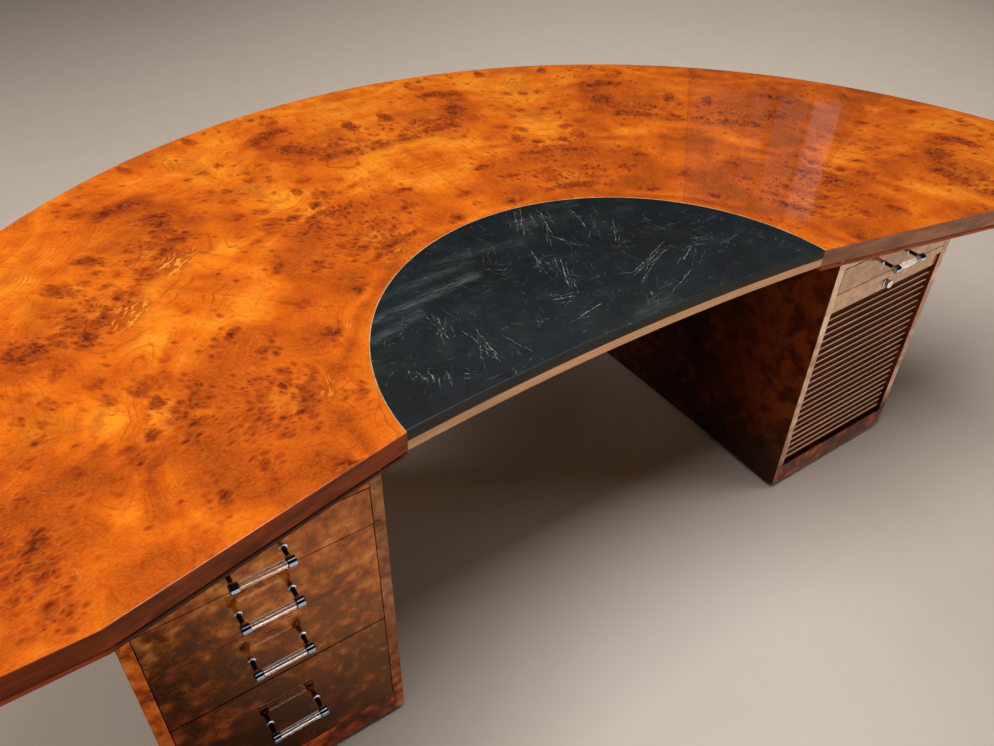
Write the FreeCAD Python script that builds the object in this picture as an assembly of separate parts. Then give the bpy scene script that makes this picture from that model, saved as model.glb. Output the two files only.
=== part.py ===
import FreeCAD, Part
import math
import os

# Half-round writing desk: a veneered half-disc top with a let-in leather pad, carried by
# two pedestals. The left pedestal holds four drawers; the right one holds a drawer over a
# shutter cabinet. Millimetres, +X to the user's right, the user sits at -Y, +Z up.
# The origin is on the floor, midway between the wing fronts and the back of the arc.

Vec = FreeCAD.Vector
UP = Vec(0, 0, 1)
os.makedirs("parts", exist_ok=True)

# ---------------------------------------------------------------- plan of the top
desk_height = 760.0
arc_radius = 1494.0          # outer edge of the half-disc
front_set = 50.0             # the wing fronts lie this far behind the arc's centre
kink_half_width = 1014.0     # the wing fronts turn back here
inlay_radius = 509.0         # leather pad
knee_setback = 104.0         # the pad's corners lie this far behind the wing fronts
knee_sag = 24.0              # the knee edge curves back by this much at its middle

# ---------------------------------------------------------------- thicknesses of the top
slab_thickness = 41.0        # board with its veneer
skin_thickness = 1.5         # burl veneer and leather
lipping_thickness = 12.0     # solid wood along the wing fronts
edge_band_thickness = 2.0    # veneer round the arc
stringing_width = 2.0        # pale line round the leather
nose_height = 21.0           # leather wrapped over the knee edge
nose_radius = 5.0
core_chamfer = 2.5           # upper front edge of the board under the leather
strip_depth = 12.0           # pale wood under the leather nose
bead_height = 14.0
bead_depth = 20.0
bead_proud = 1.5             # the bead's nose stands out of the faces above it
bead_arc_count = 3           # lengths round the arc on each side
veneer_leaves = 8
seam_set = 72.0              # the leaves' seams meet this far behind the arc's centre

# ---------------------------------------------------------------- pedestals
pedestal_width = 448.0
pedestal_depth = 820.0
pedestal_setback = 92.0      # pedestal fronts lie this far behind the wing fronts
toe_height = 15.0            # the carcase stops this far above the floor
side_thickness = 22.0
back_thickness = 12.0
top_board_thickness = 29.0
floor_thickness = 18.0
front_rail_height = 60.0
left_rail_thickness = 20.0
right_rail_thickness = 8.0
shutter_turn_room = 36.0     # the cabinet floor starts this far behind the front
base_board_thickness = 12.0
plinth_board = 18.0
plinth_inset = 24.0
plinth_side_gap = 2.0

# ---------------------------------------------------------------- drawers
left_front_heights = [86.0, 116.0, 146.0]   # the lowest front fills what is left
left_front_gaps = [2.0, 2.0, 1.0, 3.5]      # above each front, from the top
right_front_height = 66.0
front_gap = 2.0              # round fronts where no other gap is given
front_side_gap = 1.5
front_thickness = 20.0
box_back_room = 48.0         # behind the drawer box
box_side_gap = 2.0
box_side_thickness = 14.0
box_drop = 16.0              # the box stops this far below its front's top
box_lift = 8.0               # and starts this far above its front's bottom
box_bottom_thickness = 6.0
box_bottom_rise = 8.0
box_bottom_housing = 5.0
runner_height = 12.0
runner_bite = 6.0            # the runner reaches this far into the drawer side
runner_gap = 0.3
runner_start = 40.0          # behind the pedestal's front
runner_end_room = 68.0       # between the runner and the back panel
runner_rise = 0.55           # runner height on the box side, as a share of its height

# ---------------------------------------------------------------- handles
post_spacing = 92.0
handle_standoff = 32.0       # rod axis to drawer front
post_radius = 4.5
rosette_radius = 7.5
rosette_height = 4.0
stud_radius = 2.5
stud_length = 14.0
stud_clearance = 0.05
cap_radius = 9.0
cap_length = 16.0
cap_chamfer = 0.8
rod_radius = 7.0
rod_clearance = 0.05
rod_bite = 6.0               # the rod's length inside each cap

# ---------------------------------------------------------------- shutter and its lock
divider_thickness = 20.0
lead_rail_height = 35.0
lead_rail_thickness = 18.0
lead_rail_recess = 5.0
lead_rail_gap = 1.0
slat_count = 23
slat_recess = 9.0
slat_depth = 8.0
slat_tongue = 5.0
slat_gap = 0.4
slat_side_gap = 1.0
canvas_thickness = 0.8
canvas_margin = 12.0
tongue_reach = 6.0
groove_depth = 8.0
groove_clearance = 0.3
groove_spare = 10.0          # the groove is this much longer than the shutter needs
channel_gap = 3.0            # between the shutter's canvas and the floor board over it
lock_radius = 10.0
lock_reach = 12.0            # the barrel stands out of the lead rail
collar_radius = 12.0
collar_thickness = 2.0
plug_radius = 7.0
plug_clearance = 0.05
key_slot = [1.6, 8.0, 4.0]   # width, height, depth
cam_radius = 4.5
cam_rest_angle = 45.0        # the unlocked pin lies this far below the horizontal
cam_pin_radius = 1.5
cam_clearance = 0.3
bolt_half_width = 8.5
bolt_thickness = 4.0
bolt_length = 30.0
bolt_clearance = 0.2
case_wall = 2.5
case_height = 32.0
strike_thickness = 1.5
strike_size = [54.0, 16.0]
mortise_depth = 10.0
mortise_clearance = 1.0      # round the bolt, in the strike and the divider

# ---------------------------------------------------------------- screws into the top
screw_radius = 2.5
screw_clearance = 0.05
screw_head_radius = 5.0
screw_head_height = 3.0
screw_bite = 22.0
screw_side_inset = 60.0
screw_end_inset = 110.0

# ---------------------------------------------------------------- derived places
arc_y = -(arc_radius + front_set) / 2.0
front_y = arc_y + front_set
corner_x = inlay_radius
corner_y = front_y + knee_setback
slab_bottom = desk_height - slab_thickness
skin_bottom = desk_height - skin_thickness
knee_radius = (corner_x ** 2 + knee_sag ** 2) / (2.0 * knee_sag)
knee_centre_y = corner_y + knee_sag - knee_radius
ped_outer = kink_half_width
ped_inner = ped_outer - pedestal_width
ped_front = front_y + pedestal_setback
ped_back = ped_front + pedestal_depth
bay_half = pedestal_width / 2.0 - side_thickness
ped_mid = (ped_outer + ped_inner) / 2.0
back_face = ped_back - back_thickness
top_board_bottom = slab_bottom - top_board_thickness
rail_top = toe_height + front_rail_height
floor_bottom = rail_top - floor_thickness
box_length = pedestal_depth - back_thickness - front_thickness - box_back_room
runner_length = pedestal_depth - back_thickness - runner_start - runner_end_room
groove_half = (slat_tongue + canvas_thickness) / 2.0 + groove_clearance
turn_radius = floor_thickness + channel_gap + groove_half
cam_reach = cam_radius * math.cos(math.radians(cam_rest_angle))
cam_drop = cam_radius * math.sin(math.radians(cam_rest_angle))
far = 2.0 * arc_radius       # reach of cutting bodies
tiny = 1e-3                  # lengths below this count as nothing


def box(x0, x1, y0, y1, z0, z1):
    """Block between two corners, given in any order."""
    low = Vec(min(x0, x1), min(y0, y1), min(z0, z1))
    return Part.makeBox(abs(x1 - x0), abs(y1 - y0), abs(z1 - z0), low)


def disc(radius, z0, z1, centre_y=arc_y):
    return Part.makeCylinder(radius, z1 - z0, Vec(0, centre_y, z0), UP)


def tube(radius, start, axis, length):
    return Part.makeCylinder(radius, length, start, axis)


def group(solids):
    """Separate solids kept in one node."""
    return Part.makeCompound(solids)


def save(name, shape):
    shape.exportStep("parts/" + name + ".step")


# ================================================================ top
slant_length = math.hypot(kink_half_width - corner_x, knee_setback)
slant_nx = knee_setback / slant_length
slant_ny = (kink_half_width - corner_x) / slant_length


def slant_y(x, inset):
    """Height in plan of the slanting wing front, moved in by inset."""
    level = kink_half_width * slant_nx + front_y * slant_ny + inset
    return (level - abs(x) * slant_nx) / slant_ny


def kink_x(inset):
    level = kink_half_width * slant_nx + front_y * slant_ny + inset
    return (level - (front_y + inset) * slant_ny) / slant_nx


def knee_y(x, inset):
    return knee_centre_y + math.sqrt((knee_radius + inset) ** 2 - x ** 2)


def behind_fronts(wing_inset, knee_inset, z0, z1):
    """Everything behind the front outline, moved in by the two insets."""
    left = [
        Vec(-far, front_y + wing_inset, z0),
        Vec(-kink_x(wing_inset), front_y + wing_inset, z0),
        Vec(-corner_x, slant_y(corner_x, wing_inset), z0),
        Vec(-corner_x, knee_y(corner_x, knee_inset), z0),
    ]
    right = [Vec(-p.x, p.y, p.z) for p in reversed(left)]
    rear = [Vec(far, far, z0), Vec(-far, far, z0), left[0]]
    edges = []
    for chain in (left, right + rear):
        for a, b in zip(chain, chain[1:]):
            if a.distanceToPoint(b) > tiny:
                edges.append(Part.LineSegment(a, b).toShape())
    middle = Vec(0, knee_y(0, knee_inset), z0)
    edges.append(Part.Arc(left[-1], middle, right[0]).toShape())
    outline = Part.Wire(Part.__sortEdges__(edges))
    return Part.Face(outline).extrude(Vec(0, 0, z1 - z0))


def knee_ring(corner, a, c, z0):
    """Ring round the knee edge's far centre; corner is its upper inner edge, from a up to c."""
    d, e, f = Vec(a.x + far, 0, c.z), Vec(a.x + far, 0, z0), Vec(a.x, 0, z0)
    lines = [Part.LineSegment(p, q).toShape() for p, q in ((c, d), (d, e), (e, f), (f, a))]
    ring = Part.Face(Part.Wire([corner.toShape()] + lines)).revolve(Vec(0, 0, 0), UP, 360)
    ring.translate(Vec(0, knee_centre_y, 0))
    return ring


def leather_ring():
    """Behind the leather's rounded nose."""
    bend = nose_radius * (1 - math.cos(math.pi / 4))
    a = Vec(knee_radius, 0, desk_height - nose_radius)
    b = Vec(knee_radius + bend, 0, desk_height - bend)
    c = Vec(knee_radius + nose_radius, 0, desk_height)
    return knee_ring(Part.Arc(a, b, c), a, c, desk_height - nose_height)


def core_ring():
    """Behind the chamfered edge of the board under the leather."""
    r = knee_radius + skin_thickness
    a = Vec(r, 0, skin_bottom - core_chamfer)
    c = Vec(r + core_chamfer, 0, skin_bottom)
    return knee_ring(Part.LineSegment(a, c), a, c, slab_bottom)


def core_boards():
    """Three boards side by side, joined at the pad's corners."""
    whole = disc(arc_radius - edge_band_thickness, slab_bottom, skin_bottom)
    wings = whole.common(behind_fronts(lipping_thickness, skin_thickness, slab_bottom, skin_bottom))
    left = wings.common(box(-far, -corner_x, -far, far, slab_bottom, skin_bottom))
    right = wings.common(box(corner_x, far, -far, far, slab_bottom, skin_bottom))
    centre = whole.common(box(-corner_x, corner_x, -far, far, slab_bottom, skin_bottom))
    centre = centre.common(core_ring())
    return [left, centre.cut(knee_strip()), right]


def knee_strip():
    top = desk_height - nose_height
    outer = behind_fronts(0, 0, slab_bottom, top)
    inner = behind_fronts(0, strip_depth, slab_bottom, top)
    span = box(-corner_x, corner_x, -far, far, slab_bottom, top)
    return outer.common(span).cut(inner)


def leather_pad():
    """Half-disc sheet that turns down over the knee edge."""
    bottom = desk_height - nose_height
    pad = disc(inlay_radius, bottom, desk_height, corner_y)
    return pad.common(leather_ring()).cut(core_ring())


def inlay_stringing():
    ring = disc(inlay_radius + stringing_width, skin_bottom, desk_height, corner_y)
    ring = ring.cut(disc(inlay_radius, skin_bottom, desk_height, corner_y))
    return ring.common(behind_fronts(0, 0, skin_bottom, desk_height))


def sector(start, end, z0, z1, hub_y=arc_y):
    """Wedge between two angles, about a point on the desk's middle line."""
    hub = Vec(0, hub_y, z0)
    rim = [Vec(far * math.cos(a), hub_y + far * math.sin(a), z0) for a in (start, end)]
    outline = Part.makePolygon([hub, rim[0], rim[1], hub])
    return Part.Face(outline).extrude(Vec(0, 0, z1 - z0))


def top_veneer():
    """Radial leaves of veneer; the first and the last run on to the wing fronts."""
    sheet = behind_fronts(0, 0, skin_bottom, desk_height)
    sheet = sheet.common(disc(arc_radius, skin_bottom, desk_height))
    sheet = sheet.cut(disc(inlay_radius + stringing_width, skin_bottom, desk_height, corner_y))
    share = math.pi / veneer_leaves
    turns = [i * share for i in range(veneer_leaves + 1)]
    turns[0] -= share / 2.0
    turns[-1] += share / 2.0
    leaves = []
    for start, end in zip(turns, turns[1:]):
        leaf = sector(start, end, skin_bottom, desk_height, arc_y + seam_set)
        leaves += sheet.common(leaf).Solids
    return leaves


def wing_lipping(side):
    outer = behind_fronts(0, 0, slab_bottom, skin_bottom)
    inner = behind_fronts(lipping_thickness, 0, slab_bottom, skin_bottom)
    strip = outer.cut(inner).common(disc(arc_radius - edge_band_thickness, slab_bottom, skin_bottom))
    return strip.common(box(side * corner_x, side * far, -far, far, slab_bottom, skin_bottom))


def edge_band():
    ring = disc(arc_radius, slab_bottom, skin_bottom)
    ring = ring.cut(disc(arc_radius - edge_band_thickness, slab_bottom, skin_bottom))
    return ring.common(behind_fronts(0, 0, slab_bottom, skin_bottom))


def bead_nose():
    """Half-round section of the bead, in the YZ plane with its nose at y = 0."""
    radius = bead_height / 2.0
    low = slab_bottom - bead_height
    a = Vec(0, radius, low)
    b = Vec(0, 0, low + radius)
    c = Vec(0, radius, slab_bottom)
    d = Vec(0, far, slab_bottom)
    e = Vec(0, far, low)
    nose = Part.Arc(a, b, c).toShape()
    rest = [Part.LineSegment(p, q).toShape() for p, q in ((c, d), (d, e), (e, a))]
    return Part.Face(Part.Wire([nose] + rest))


def nosed_slab(turn_degrees, point):
    """Slab behind a straight bead whose nose line goes through point."""
    slab = bead_nose().extrude(Vec(2 * far, 0, 0))
    slab.translate(Vec(-far, 0, 0))
    slab.rotate(Vec(0, 0, 0), UP, turn_degrees)
    slab.translate(Vec(point[0], point[1], 0))
    return slab


def nosed_disc():
    """Round slab with the bead's nose at its rim."""
    rim = arc_radius + bead_proud
    radius = bead_height / 2.0
    low = slab_bottom - bead_height
    a = Vec(rim - radius, 0, slab_bottom)
    b = Vec(rim, 0, low + radius)
    c = Vec(rim - radius, 0, low)
    d = Vec(0, 0, low)
    e = Vec(0, 0, slab_bottom)
    edges = [Part.Arc(a, b, c).toShape()]
    edges += [Part.LineSegment(p, q).toShape() for p, q in ((c, d), (d, e), (e, a))]
    body = Part.Face(Part.Wire(edges)).revolve(Vec(0, 0, 0), UP, 360)
    body.translate(Vec(0, arc_y, 0))
    return body


def bead_moulding():
    """Half-round bead under the wing fronts and round the arc, in separate lengths."""
    low = slab_bottom - bead_height
    tilt = math.degrees(math.atan2(slant_nx, slant_ny))
    nx, ny = slant_nx * bead_proud, slant_ny * bead_proud
    inset = bead_depth - bead_proud
    body = nosed_disc().common(box(0, far, -far, far, low, slab_bottom))
    body = body.common(nosed_slab(0, (0, front_y - bead_proud)))
    body = body.common(nosed_slab(-tilt, (kink_half_width - nx, front_y - ny)))
    inner = behind_fronts(inset, inset, low, slab_bottom)
    body = body.cut(inner.common(disc(arc_radius - inset, low, slab_bottom)))
    body = body.cut(box(ped_inner, ped_outer, ped_front, ped_back, low, slab_bottom))
    slant_back = corner_y + bead_depth
    straight_back = front_y + inset
    slant = body.common(box(corner_x, kink_half_width, -far, slant_back, low, slab_bottom))
    straight = body.common(box(kink_half_width, far, -far, straight_back, low, slab_bottom))
    lengths = [slant.common(nosed_slab(-90, (corner_x, 0))), straight]
    rest = body.common(box(0, far, straight_back, far, low, slab_bottom))
    rest = rest.cut(disc(arc_radius - inset, low, slab_bottom))
    for i in range(bead_arc_count):
        share = math.pi / 2 / bead_arc_count
        lengths.append(rest.common(sector(i * share, (i + 1) * share, low, slab_bottom)))
    mirrored = [length.mirror(Vec(0, 0, 0), Vec(1, 0, 0)) for length in lengths]
    return [solid for length in lengths + mirrored for solid in length.Solids]


# ================================================================ screws that hold the top
def screw_places():
    places = []
    for side in (-1, 1):
        for x in (-bay_half + screw_side_inset, bay_half - screw_side_inset):
            for y in (ped_front + screw_end_inset, ped_back - screw_end_inset):
                places.append((side * ped_mid + x, y))
    return places


def top_screws():
    screws = []
    for x, y in screw_places():
        under = top_board_bottom - screw_head_height
        head = tube(screw_head_radius, Vec(x, y, under), UP, screw_head_height)
        shank_length = top_board_thickness + screw_bite
        shank = tube(screw_radius, Vec(x, y, top_board_bottom), UP, shank_length)
        screws.append(head.fuse(shank).removeSplitter())
    return screws


def cut_screw_holes(shape):
    for x, y in screw_places():
        length = top_board_thickness + screw_bite
        hole = tube(screw_radius + screw_clearance, Vec(x, y, top_board_bottom), UP, length)
        if shape.BoundBox.isInside(Vec(x, y, shape.BoundBox.Center.z)):
            shape = shape.cut(hole)
    return shape


# ================================================================ pedestals
def shutter_y():
    """Middle of the shutter's tongues."""
    return ped_front + slat_recess + slat_depth - slat_tongue / 2.0


def shutter_groove(side_x, outward):
    """Groove for the shutter's tongues: down the front, round and back under the floor."""
    middle = shutter_y() + canvas_thickness / 2.0
    centre_y = middle + turn_radius
    x0, x1 = side_x, side_x + outward * groove_depth
    run = box(x0, x1, middle - groove_half, middle + groove_half, rail_top, lead_rail_top())
    low = rail_top - turn_radius
    length = lead_rail_bottom() - rail_top - math.pi / 2 * turn_radius + groove_spare
    tail = box(x0, x1, centre_y, centre_y + length, low - groove_half, low + groove_half)
    start = Vec(min(x0, x1), centre_y, rail_top)
    outer = tube(turn_radius + groove_half, start, Vec(1, 0, 0), groove_depth)
    inner = tube(turn_radius - groove_half, start, Vec(1, 0, 0), groove_depth)
    corner = outer.cut(inner).common(box(x0, x1, centre_y - far, centre_y, rail_top - far, rail_top))
    return run.fuse(corner).fuse(tail)


def pedestal_sides(side):
    """Inner and outer side boards."""
    boards = []
    for edge, inward in ((side * ped_inner, side), (side * ped_outer, -side)):
        board = box(edge, edge + inward * side_thickness, ped_front, ped_back, toe_height, slab_bottom)
        if side > 0:
            board = board.cut(shutter_groove(edge + inward * side_thickness, -inward))
        boards.append(board)
    return boards


def bay(side, y0, y1, z0, z1, gap=0.0):
    """Block that fills a pedestal's inner width, less a gap at each side."""
    middle = side * ped_mid
    return box(middle - bay_half + gap, middle + bay_half - gap, y0, y1, z0, z1)


def plinth(side, top):
    """Four boards standing inside the carcase's outline."""
    front = ped_front + plinth_inset
    rear = ped_back - plinth_inset
    middle = side * ped_mid
    half = bay_half - plinth_side_gap
    boards = []
    for s in (-1, 1):
        boards.append(box(middle + s * half, middle + s * (half - plinth_board), front, rear, 0, top))
    inner = half - plinth_board
    boards.append(box(middle - inner, middle + inner, front, front + plinth_board, 0, top))
    boards.append(box(middle - inner, middle + inner, rear - plinth_board, rear, 0, top))
    return boards


def left_pedestal():
    inner, outer = pedestal_sides(-1)
    rail_back = ped_front + left_rail_thickness
    save("left_side_inner", inner)
    save("left_side_outer", outer)
    save("left_back_panel", bay(-1, back_face, ped_back, toe_height, slab_bottom))
    save("left_top_board", cut_screw_holes(bay(-1, ped_front, back_face, top_board_bottom, slab_bottom)))
    save("left_floor_board", bay(-1, rail_back, back_face, floor_bottom, rail_top))
    save("left_bottom_rail", bay(-1, ped_front, rail_back, toe_height, rail_top))
    save("left_plinth", group(plinth(-1, floor_bottom)))


def right_pedestal():
    inner, outer = pedestal_sides(1)
    rail_back = ped_front + right_rail_thickness
    base_top = toe_height + base_board_thickness
    save("right_side_inner", inner)
    save("right_side_outer", outer)
    save("right_back_panel", bay(1, back_face, ped_back, toe_height, slab_bottom))
    save("right_top_board", cut_screw_holes(bay(1, ped_front, back_face, top_board_bottom, slab_bottom)))
    save("cabinet_floor", bay(1, ped_front + shutter_turn_room, back_face, floor_bottom, rail_top))
    save("right_bottom_rail", bay(1, ped_front, rail_back, toe_height, rail_top))
    save("right_base_board", bay(1, rail_back, back_face, toe_height, base_top))
    save("right_plinth", group(plinth(1, toe_height)))
    save("cabinet_divider", divider())


# ================================================================ drawers
def front_levels():
    """Bottom and top of each drawer front, the four left ones first."""
    levels = []
    top = top_board_bottom
    for height, gap in zip(left_front_heights, left_front_gaps):
        top = top - gap
        levels.append((top - height, top))
        top = top - height
    levels.append((rail_top + front_gap, top - left_front_gaps[-1]))
    top = top_board_bottom - front_gap
    levels.append((top - right_front_height, top))
    return levels


def drawer_side(index):
    return 1 if index == len(left_front_heights) + 1 else -1


def runner_level(index):
    """Underside of the runner beside one drawer."""
    bottom, top = front_levels()[index]
    low, high = bottom + box_lift, top - box_drop
    return low + runner_rise * (high - low) - runner_height / 2.0


def drawer_runners():
    strips = []
    for index in range(len(front_levels())):
        middle = drawer_side(index) * ped_mid
        z = runner_level(index)
        y = ped_front + runner_start
        for s in (-1, 1):
            wall = middle + s * bay_half
            tip = wall - s * (box_side_gap + runner_bite)
            strips.append(box(wall, tip, y, y + runner_length, z, z + runner_height))
    return strips


def drawer_box(index):
    """Two grooved sides and a back."""
    bottom, top = front_levels()[index]
    low, high = bottom + box_lift, top - box_drop
    middle = drawer_side(index) * ped_mid
    half = bay_half - box_side_gap
    y0 = ped_front + front_thickness
    y1 = y0 + box_length
    z = runner_level(index) - runner_gap
    panel = drawer_bottom(index)
    boards = []
    for s in (-1, 1):
        board = box(middle + s * half, middle + s * (half - box_side_thickness), y0, y1, low, high)
        depth = runner_bite + runner_gap
        z1 = z + runner_height + 2 * runner_gap
        groove = box(middle + s * half, middle + s * (half - depth), y0, y1, z, z1)
        boards.append(board.cut(groove).cut(panel))
    inner = half - box_side_thickness
    panel_top = low + box_bottom_rise + box_bottom_thickness
    boards.append(box(middle - inner, middle + inner, y1 - box_side_thickness, y1, panel_top, high))
    return boards


def drawer_bottom(index):
    low = front_levels()[index][0] + box_lift + box_bottom_rise
    middle = drawer_side(index) * ped_mid
    half = bay_half - box_side_gap - box_side_thickness + box_bottom_housing
    y0 = ped_front + front_thickness
    return box(middle - half, middle + half, y0, y0 + box_length, low, low + box_bottom_thickness)


def handle_centre(index):
    bottom, top = front_levels()[index]
    return Vec(drawer_side(index) * ped_mid, ped_front, (bottom + top) / 2.0)


def drawer_front(index):
    bottom, top = front_levels()[index]
    front = bay(drawer_side(index), ped_front, ped_front + front_thickness, bottom, top, front_side_gap)
    for s in (-1, 1):
        start = handle_centre(index) + Vec(s * post_spacing / 2.0, 0, 0)
        depth = stud_length + stud_clearance
        front = front.cut(tube(stud_radius + stud_clearance, start, Vec(0, 1, 0), depth))
    return front


def handle_posts(index):
    """Two turned posts with a rosette at the drawer and a cap that takes the rod."""
    posts = []
    for s in (-1, 1):
        start = handle_centre(index) + Vec(s * post_spacing / 2.0, 0, 0)
        r, p, h = rosette_radius, post_radius, rosette_height
        rim = [Vec(0, 0, 0), Vec(r, 0, 0), Vec(r, -h / 2.0, 0), Vec(p, -h, 0)]
        rim += [Vec(p, -handle_standoff, 0), Vec(0, -handle_standoff, 0), Vec(0, 0, 0)]
        post = Part.Face(Part.makePolygon(rim)).revolve(Vec(0, 0, 0), Vec(0, 1, 0), 360)
        post.translate(start)
        stud = tube(stud_radius, start, Vec(0, 1, 0), stud_length)
        end = start + Vec(-cap_length / 2.0, -handle_standoff, 0)
        cap = tube(cap_radius, end, Vec(1, 0, 0), cap_length)
        cap = cap.makeChamfer(cap_chamfer, [e for e in cap.Edges if e.BoundBox.XLength < tiny])
        mouth = start + Vec(-s * (cap_length / 2.0 - rod_bite), -handle_standoff, 0)
        solid = post.fuse(stud).fuse(cap).removeSplitter()
        posts.append(solid.cut(tube(rod_radius + rod_clearance, mouth, Vec(-s, 0, 0), post_spacing)))
    return posts


def handle_rod(index):
    reach = post_spacing / 2.0 - cap_length / 2.0 + rod_bite
    start = handle_centre(index) + Vec(-reach, -handle_standoff, 0)
    return tube(rod_radius, start, Vec(1, 0, 0), 2 * reach)


def drawers():
    for index in range(len(front_levels())):
        name = "drawer_%d_" % (index + 1)
        save(name + "front", drawer_front(index))
        save(name + "box", group(drawer_box(index)))
        save(name + "bottom", drawer_bottom(index))
        save(name + "handle_posts", group(handle_posts(index)))
        save(name + "handle_rod", handle_rod(index))


# ================================================================ shutter
def divider_top():
    return front_levels()[-1][0] - front_gap


def lead_rail_top():
    return divider_top() - divider_thickness - lead_rail_gap


def lead_rail_bottom():
    return lead_rail_top() - lead_rail_height


def lead_face():
    return ped_front + lead_rail_recess


def bolt_y():
    """Front and back faces of the bolt, behind the lead rail."""
    front = lead_face() + lead_rail_thickness + bolt_clearance
    return front, front + bolt_thickness


def lock_centre():
    return Vec(ped_mid, lead_face(), (lead_rail_top() + lead_rail_bottom()) / 2.0)


def strike_seat():
    """Block of the strike plate's outline, let into the divider's underside."""
    z = divider_top() - divider_thickness
    middle = sum(bolt_y()) / 2.0
    half_x, half_y = strike_size[0] / 2.0, strike_size[1] / 2.0
    return box(ped_mid - half_x, ped_mid + half_x, middle - half_y, middle + half_y, z, z + strike_thickness)


def strike():
    """Slotted plate that takes the bolt."""
    return strike_seat().cut(bolt_mortise(divider_top() - divider_thickness, strike_thickness))


def bolt_mortise(z, depth):
    y0, y1 = bolt_y()
    gap = mortise_clearance
    half = bolt_half_width + gap
    return box(ped_mid - half, ped_mid + half, y0 - gap, y1 + gap, z, z + depth)


def divider():
    """Board between the right drawer and the cabinet."""
    z = divider_top() - divider_thickness
    board = bay(1, ped_front, back_face, z, divider_top())
    return board.cut(strike_seat()).cut(bolt_mortise(z, mortise_depth))


def lead_rail():
    y0 = lead_face()
    rail = bay(1, y0, y0 + lead_rail_thickness, lead_rail_bottom(), lead_rail_top(), slat_side_gap)
    tongue_y = shutter_y() - slat_tongue / 2.0
    tongue = bay(1, tongue_y, tongue_y + slat_tongue, lead_rail_bottom(), lead_rail_top(), -tongue_reach)
    rail = rail.fuse(tongue).removeSplitter()
    return rail.cut(tube(lock_radius + stud_clearance, lock_centre(), Vec(0, 1, 0), lead_rail_thickness))


def slats():
    """Half-round slats, each with a tongue that runs in the side grooves."""
    pitch = (lead_rail_bottom() - rail_top) / slat_count
    y0 = ped_front + slat_recess
    back = y0 + slat_depth
    shoulder = y0 + slat_depth - slat_tongue
    bars = []
    for i in range(slat_count):
        z0 = rail_top + i * pitch + slat_gap / 2.0
        z1 = z0 + pitch - slat_gap
        x0 = ped_mid - bay_half + slat_side_gap
        length = 2 * (bay_half - slat_side_gap)
        a, b, c = Vec(x0, shoulder, z0), Vec(x0, y0, (z0 + z1) / 2.0), Vec(x0, shoulder, z1)
        d, e = Vec(x0, back, z1), Vec(x0, back, z0)
        edges = [Part.Arc(a, b, c).toShape()]
        edges += [Part.LineSegment(p, q).toShape() for p, q in ((c, d), (d, e), (e, a))]
        bar = Part.Face(Part.Wire(edges)).extrude(Vec(length, 0, 0))
        tongue = bay(1, shoulder, back, z0, z1, -tongue_reach)
        bars.append(bar.fuse(tongue).removeSplitter())
    return bars


def canvas():
    y0 = ped_front + slat_recess + slat_depth
    return bay(1, y0, y0 + canvas_thickness, rail_top, lead_rail_bottom(), canvas_margin)


def lock_barrel():
    """Barrel and collar through the lead rail, with the bolt's case behind it."""
    centre = lock_centre()
    along = Vec(0, 1, 0)
    barrel = tube(lock_radius, centre - along * lock_reach, along, lock_reach + lead_rail_thickness)
    collar = tube(collar_radius, centre - along * collar_thickness, along, collar_thickness)
    bore = tube(plug_radius, centre - along * lock_reach, along, lock_reach + lead_rail_thickness)
    y0, y1 = bolt_y()
    half = bolt_half_width + bolt_clearance
    low = centre.z - case_height / 2.0
    high = low + case_height
    rear = lead_face() + lead_rail_thickness
    inside = y1 + bolt_clearance
    case = box(centre.x - half - case_wall, centre.x + half + case_wall, rear, inside + case_wall, low, high)
    case = case.cut(box(centre.x - half, centre.x + half, rear, inside, low, high))
    return group([barrel.fuse(collar).cut(bore).removeSplitter(), case])


def lock_plug():
    """Plug with its key slot and the cam pin that drives the bolt."""
    centre = lock_centre()
    along = Vec(0, 1, 0)
    front = centre - along * lock_reach
    y0, y1 = bolt_y()
    body = tube(plug_radius - plug_clearance, front, along, y0 - bolt_clearance / 2.0 - front.y)
    width, height, depth = key_slot
    slot = box(centre.x - width / 2.0, centre.x + width / 2.0, front.y, front.y + depth,
               centre.z - height / 2.0, centre.z + height / 2.0)
    pin_start = Vec(centre.x + cam_reach, y0 - bolt_clearance / 2.0, centre.z - cam_drop)
    pin = tube(cam_pin_radius, pin_start, along, y1 - pin_start.y)
    return body.cut(slot).fuse(pin).removeSplitter()


def lock_bolt():
    centre = lock_centre()
    y0, y1 = bolt_y()
    top = lead_rail_top() - lead_rail_gap
    bolt = box(centre.x - bolt_half_width, centre.x + bolt_half_width, y0, y1, top - bolt_length, top)
    grip = cam_pin_radius + cam_clearance
    slot = box(centre.x + cam_reach - grip, centre.x + cam_radius + grip, y0, y1,
               centre.z - cam_drop - grip, centre.z - cam_drop + grip)
    return bolt.cut(slot)


# ================================================================ the whole desk
save("top_core", group([cut_screw_holes(board) for board in core_boards()]))
save("top_veneer", group(top_veneer()))
save("leather_pad", leather_pad())
save("inlay_stringing", inlay_stringing())
save("knee_strip", knee_strip())
save("left_wing_lipping", wing_lipping(-1))
save("right_wing_lipping", wing_lipping(1))
save("arc_edge_band", edge_band())
save("bead_moulding", group(bead_moulding()))
save("top_screws", group(top_screws()))
left_pedestal()
right_pedestal()
save("drawer_runners", group(drawer_runners()))
drawers()
save("shutter_lead_rail", lead_rail())
save("shutter_slats", group(slats()))
save("shutter_canvas", canvas())
save("lock_barrel", lock_barrel())
save("lock_plug", lock_plug())
save("lock_bolt", lock_bolt())
save("lock_strike", strike())
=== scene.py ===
import math
import random
import bmesh
import bpy
import numpy as np
from mathutils import Matrix, Vector, noise


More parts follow.
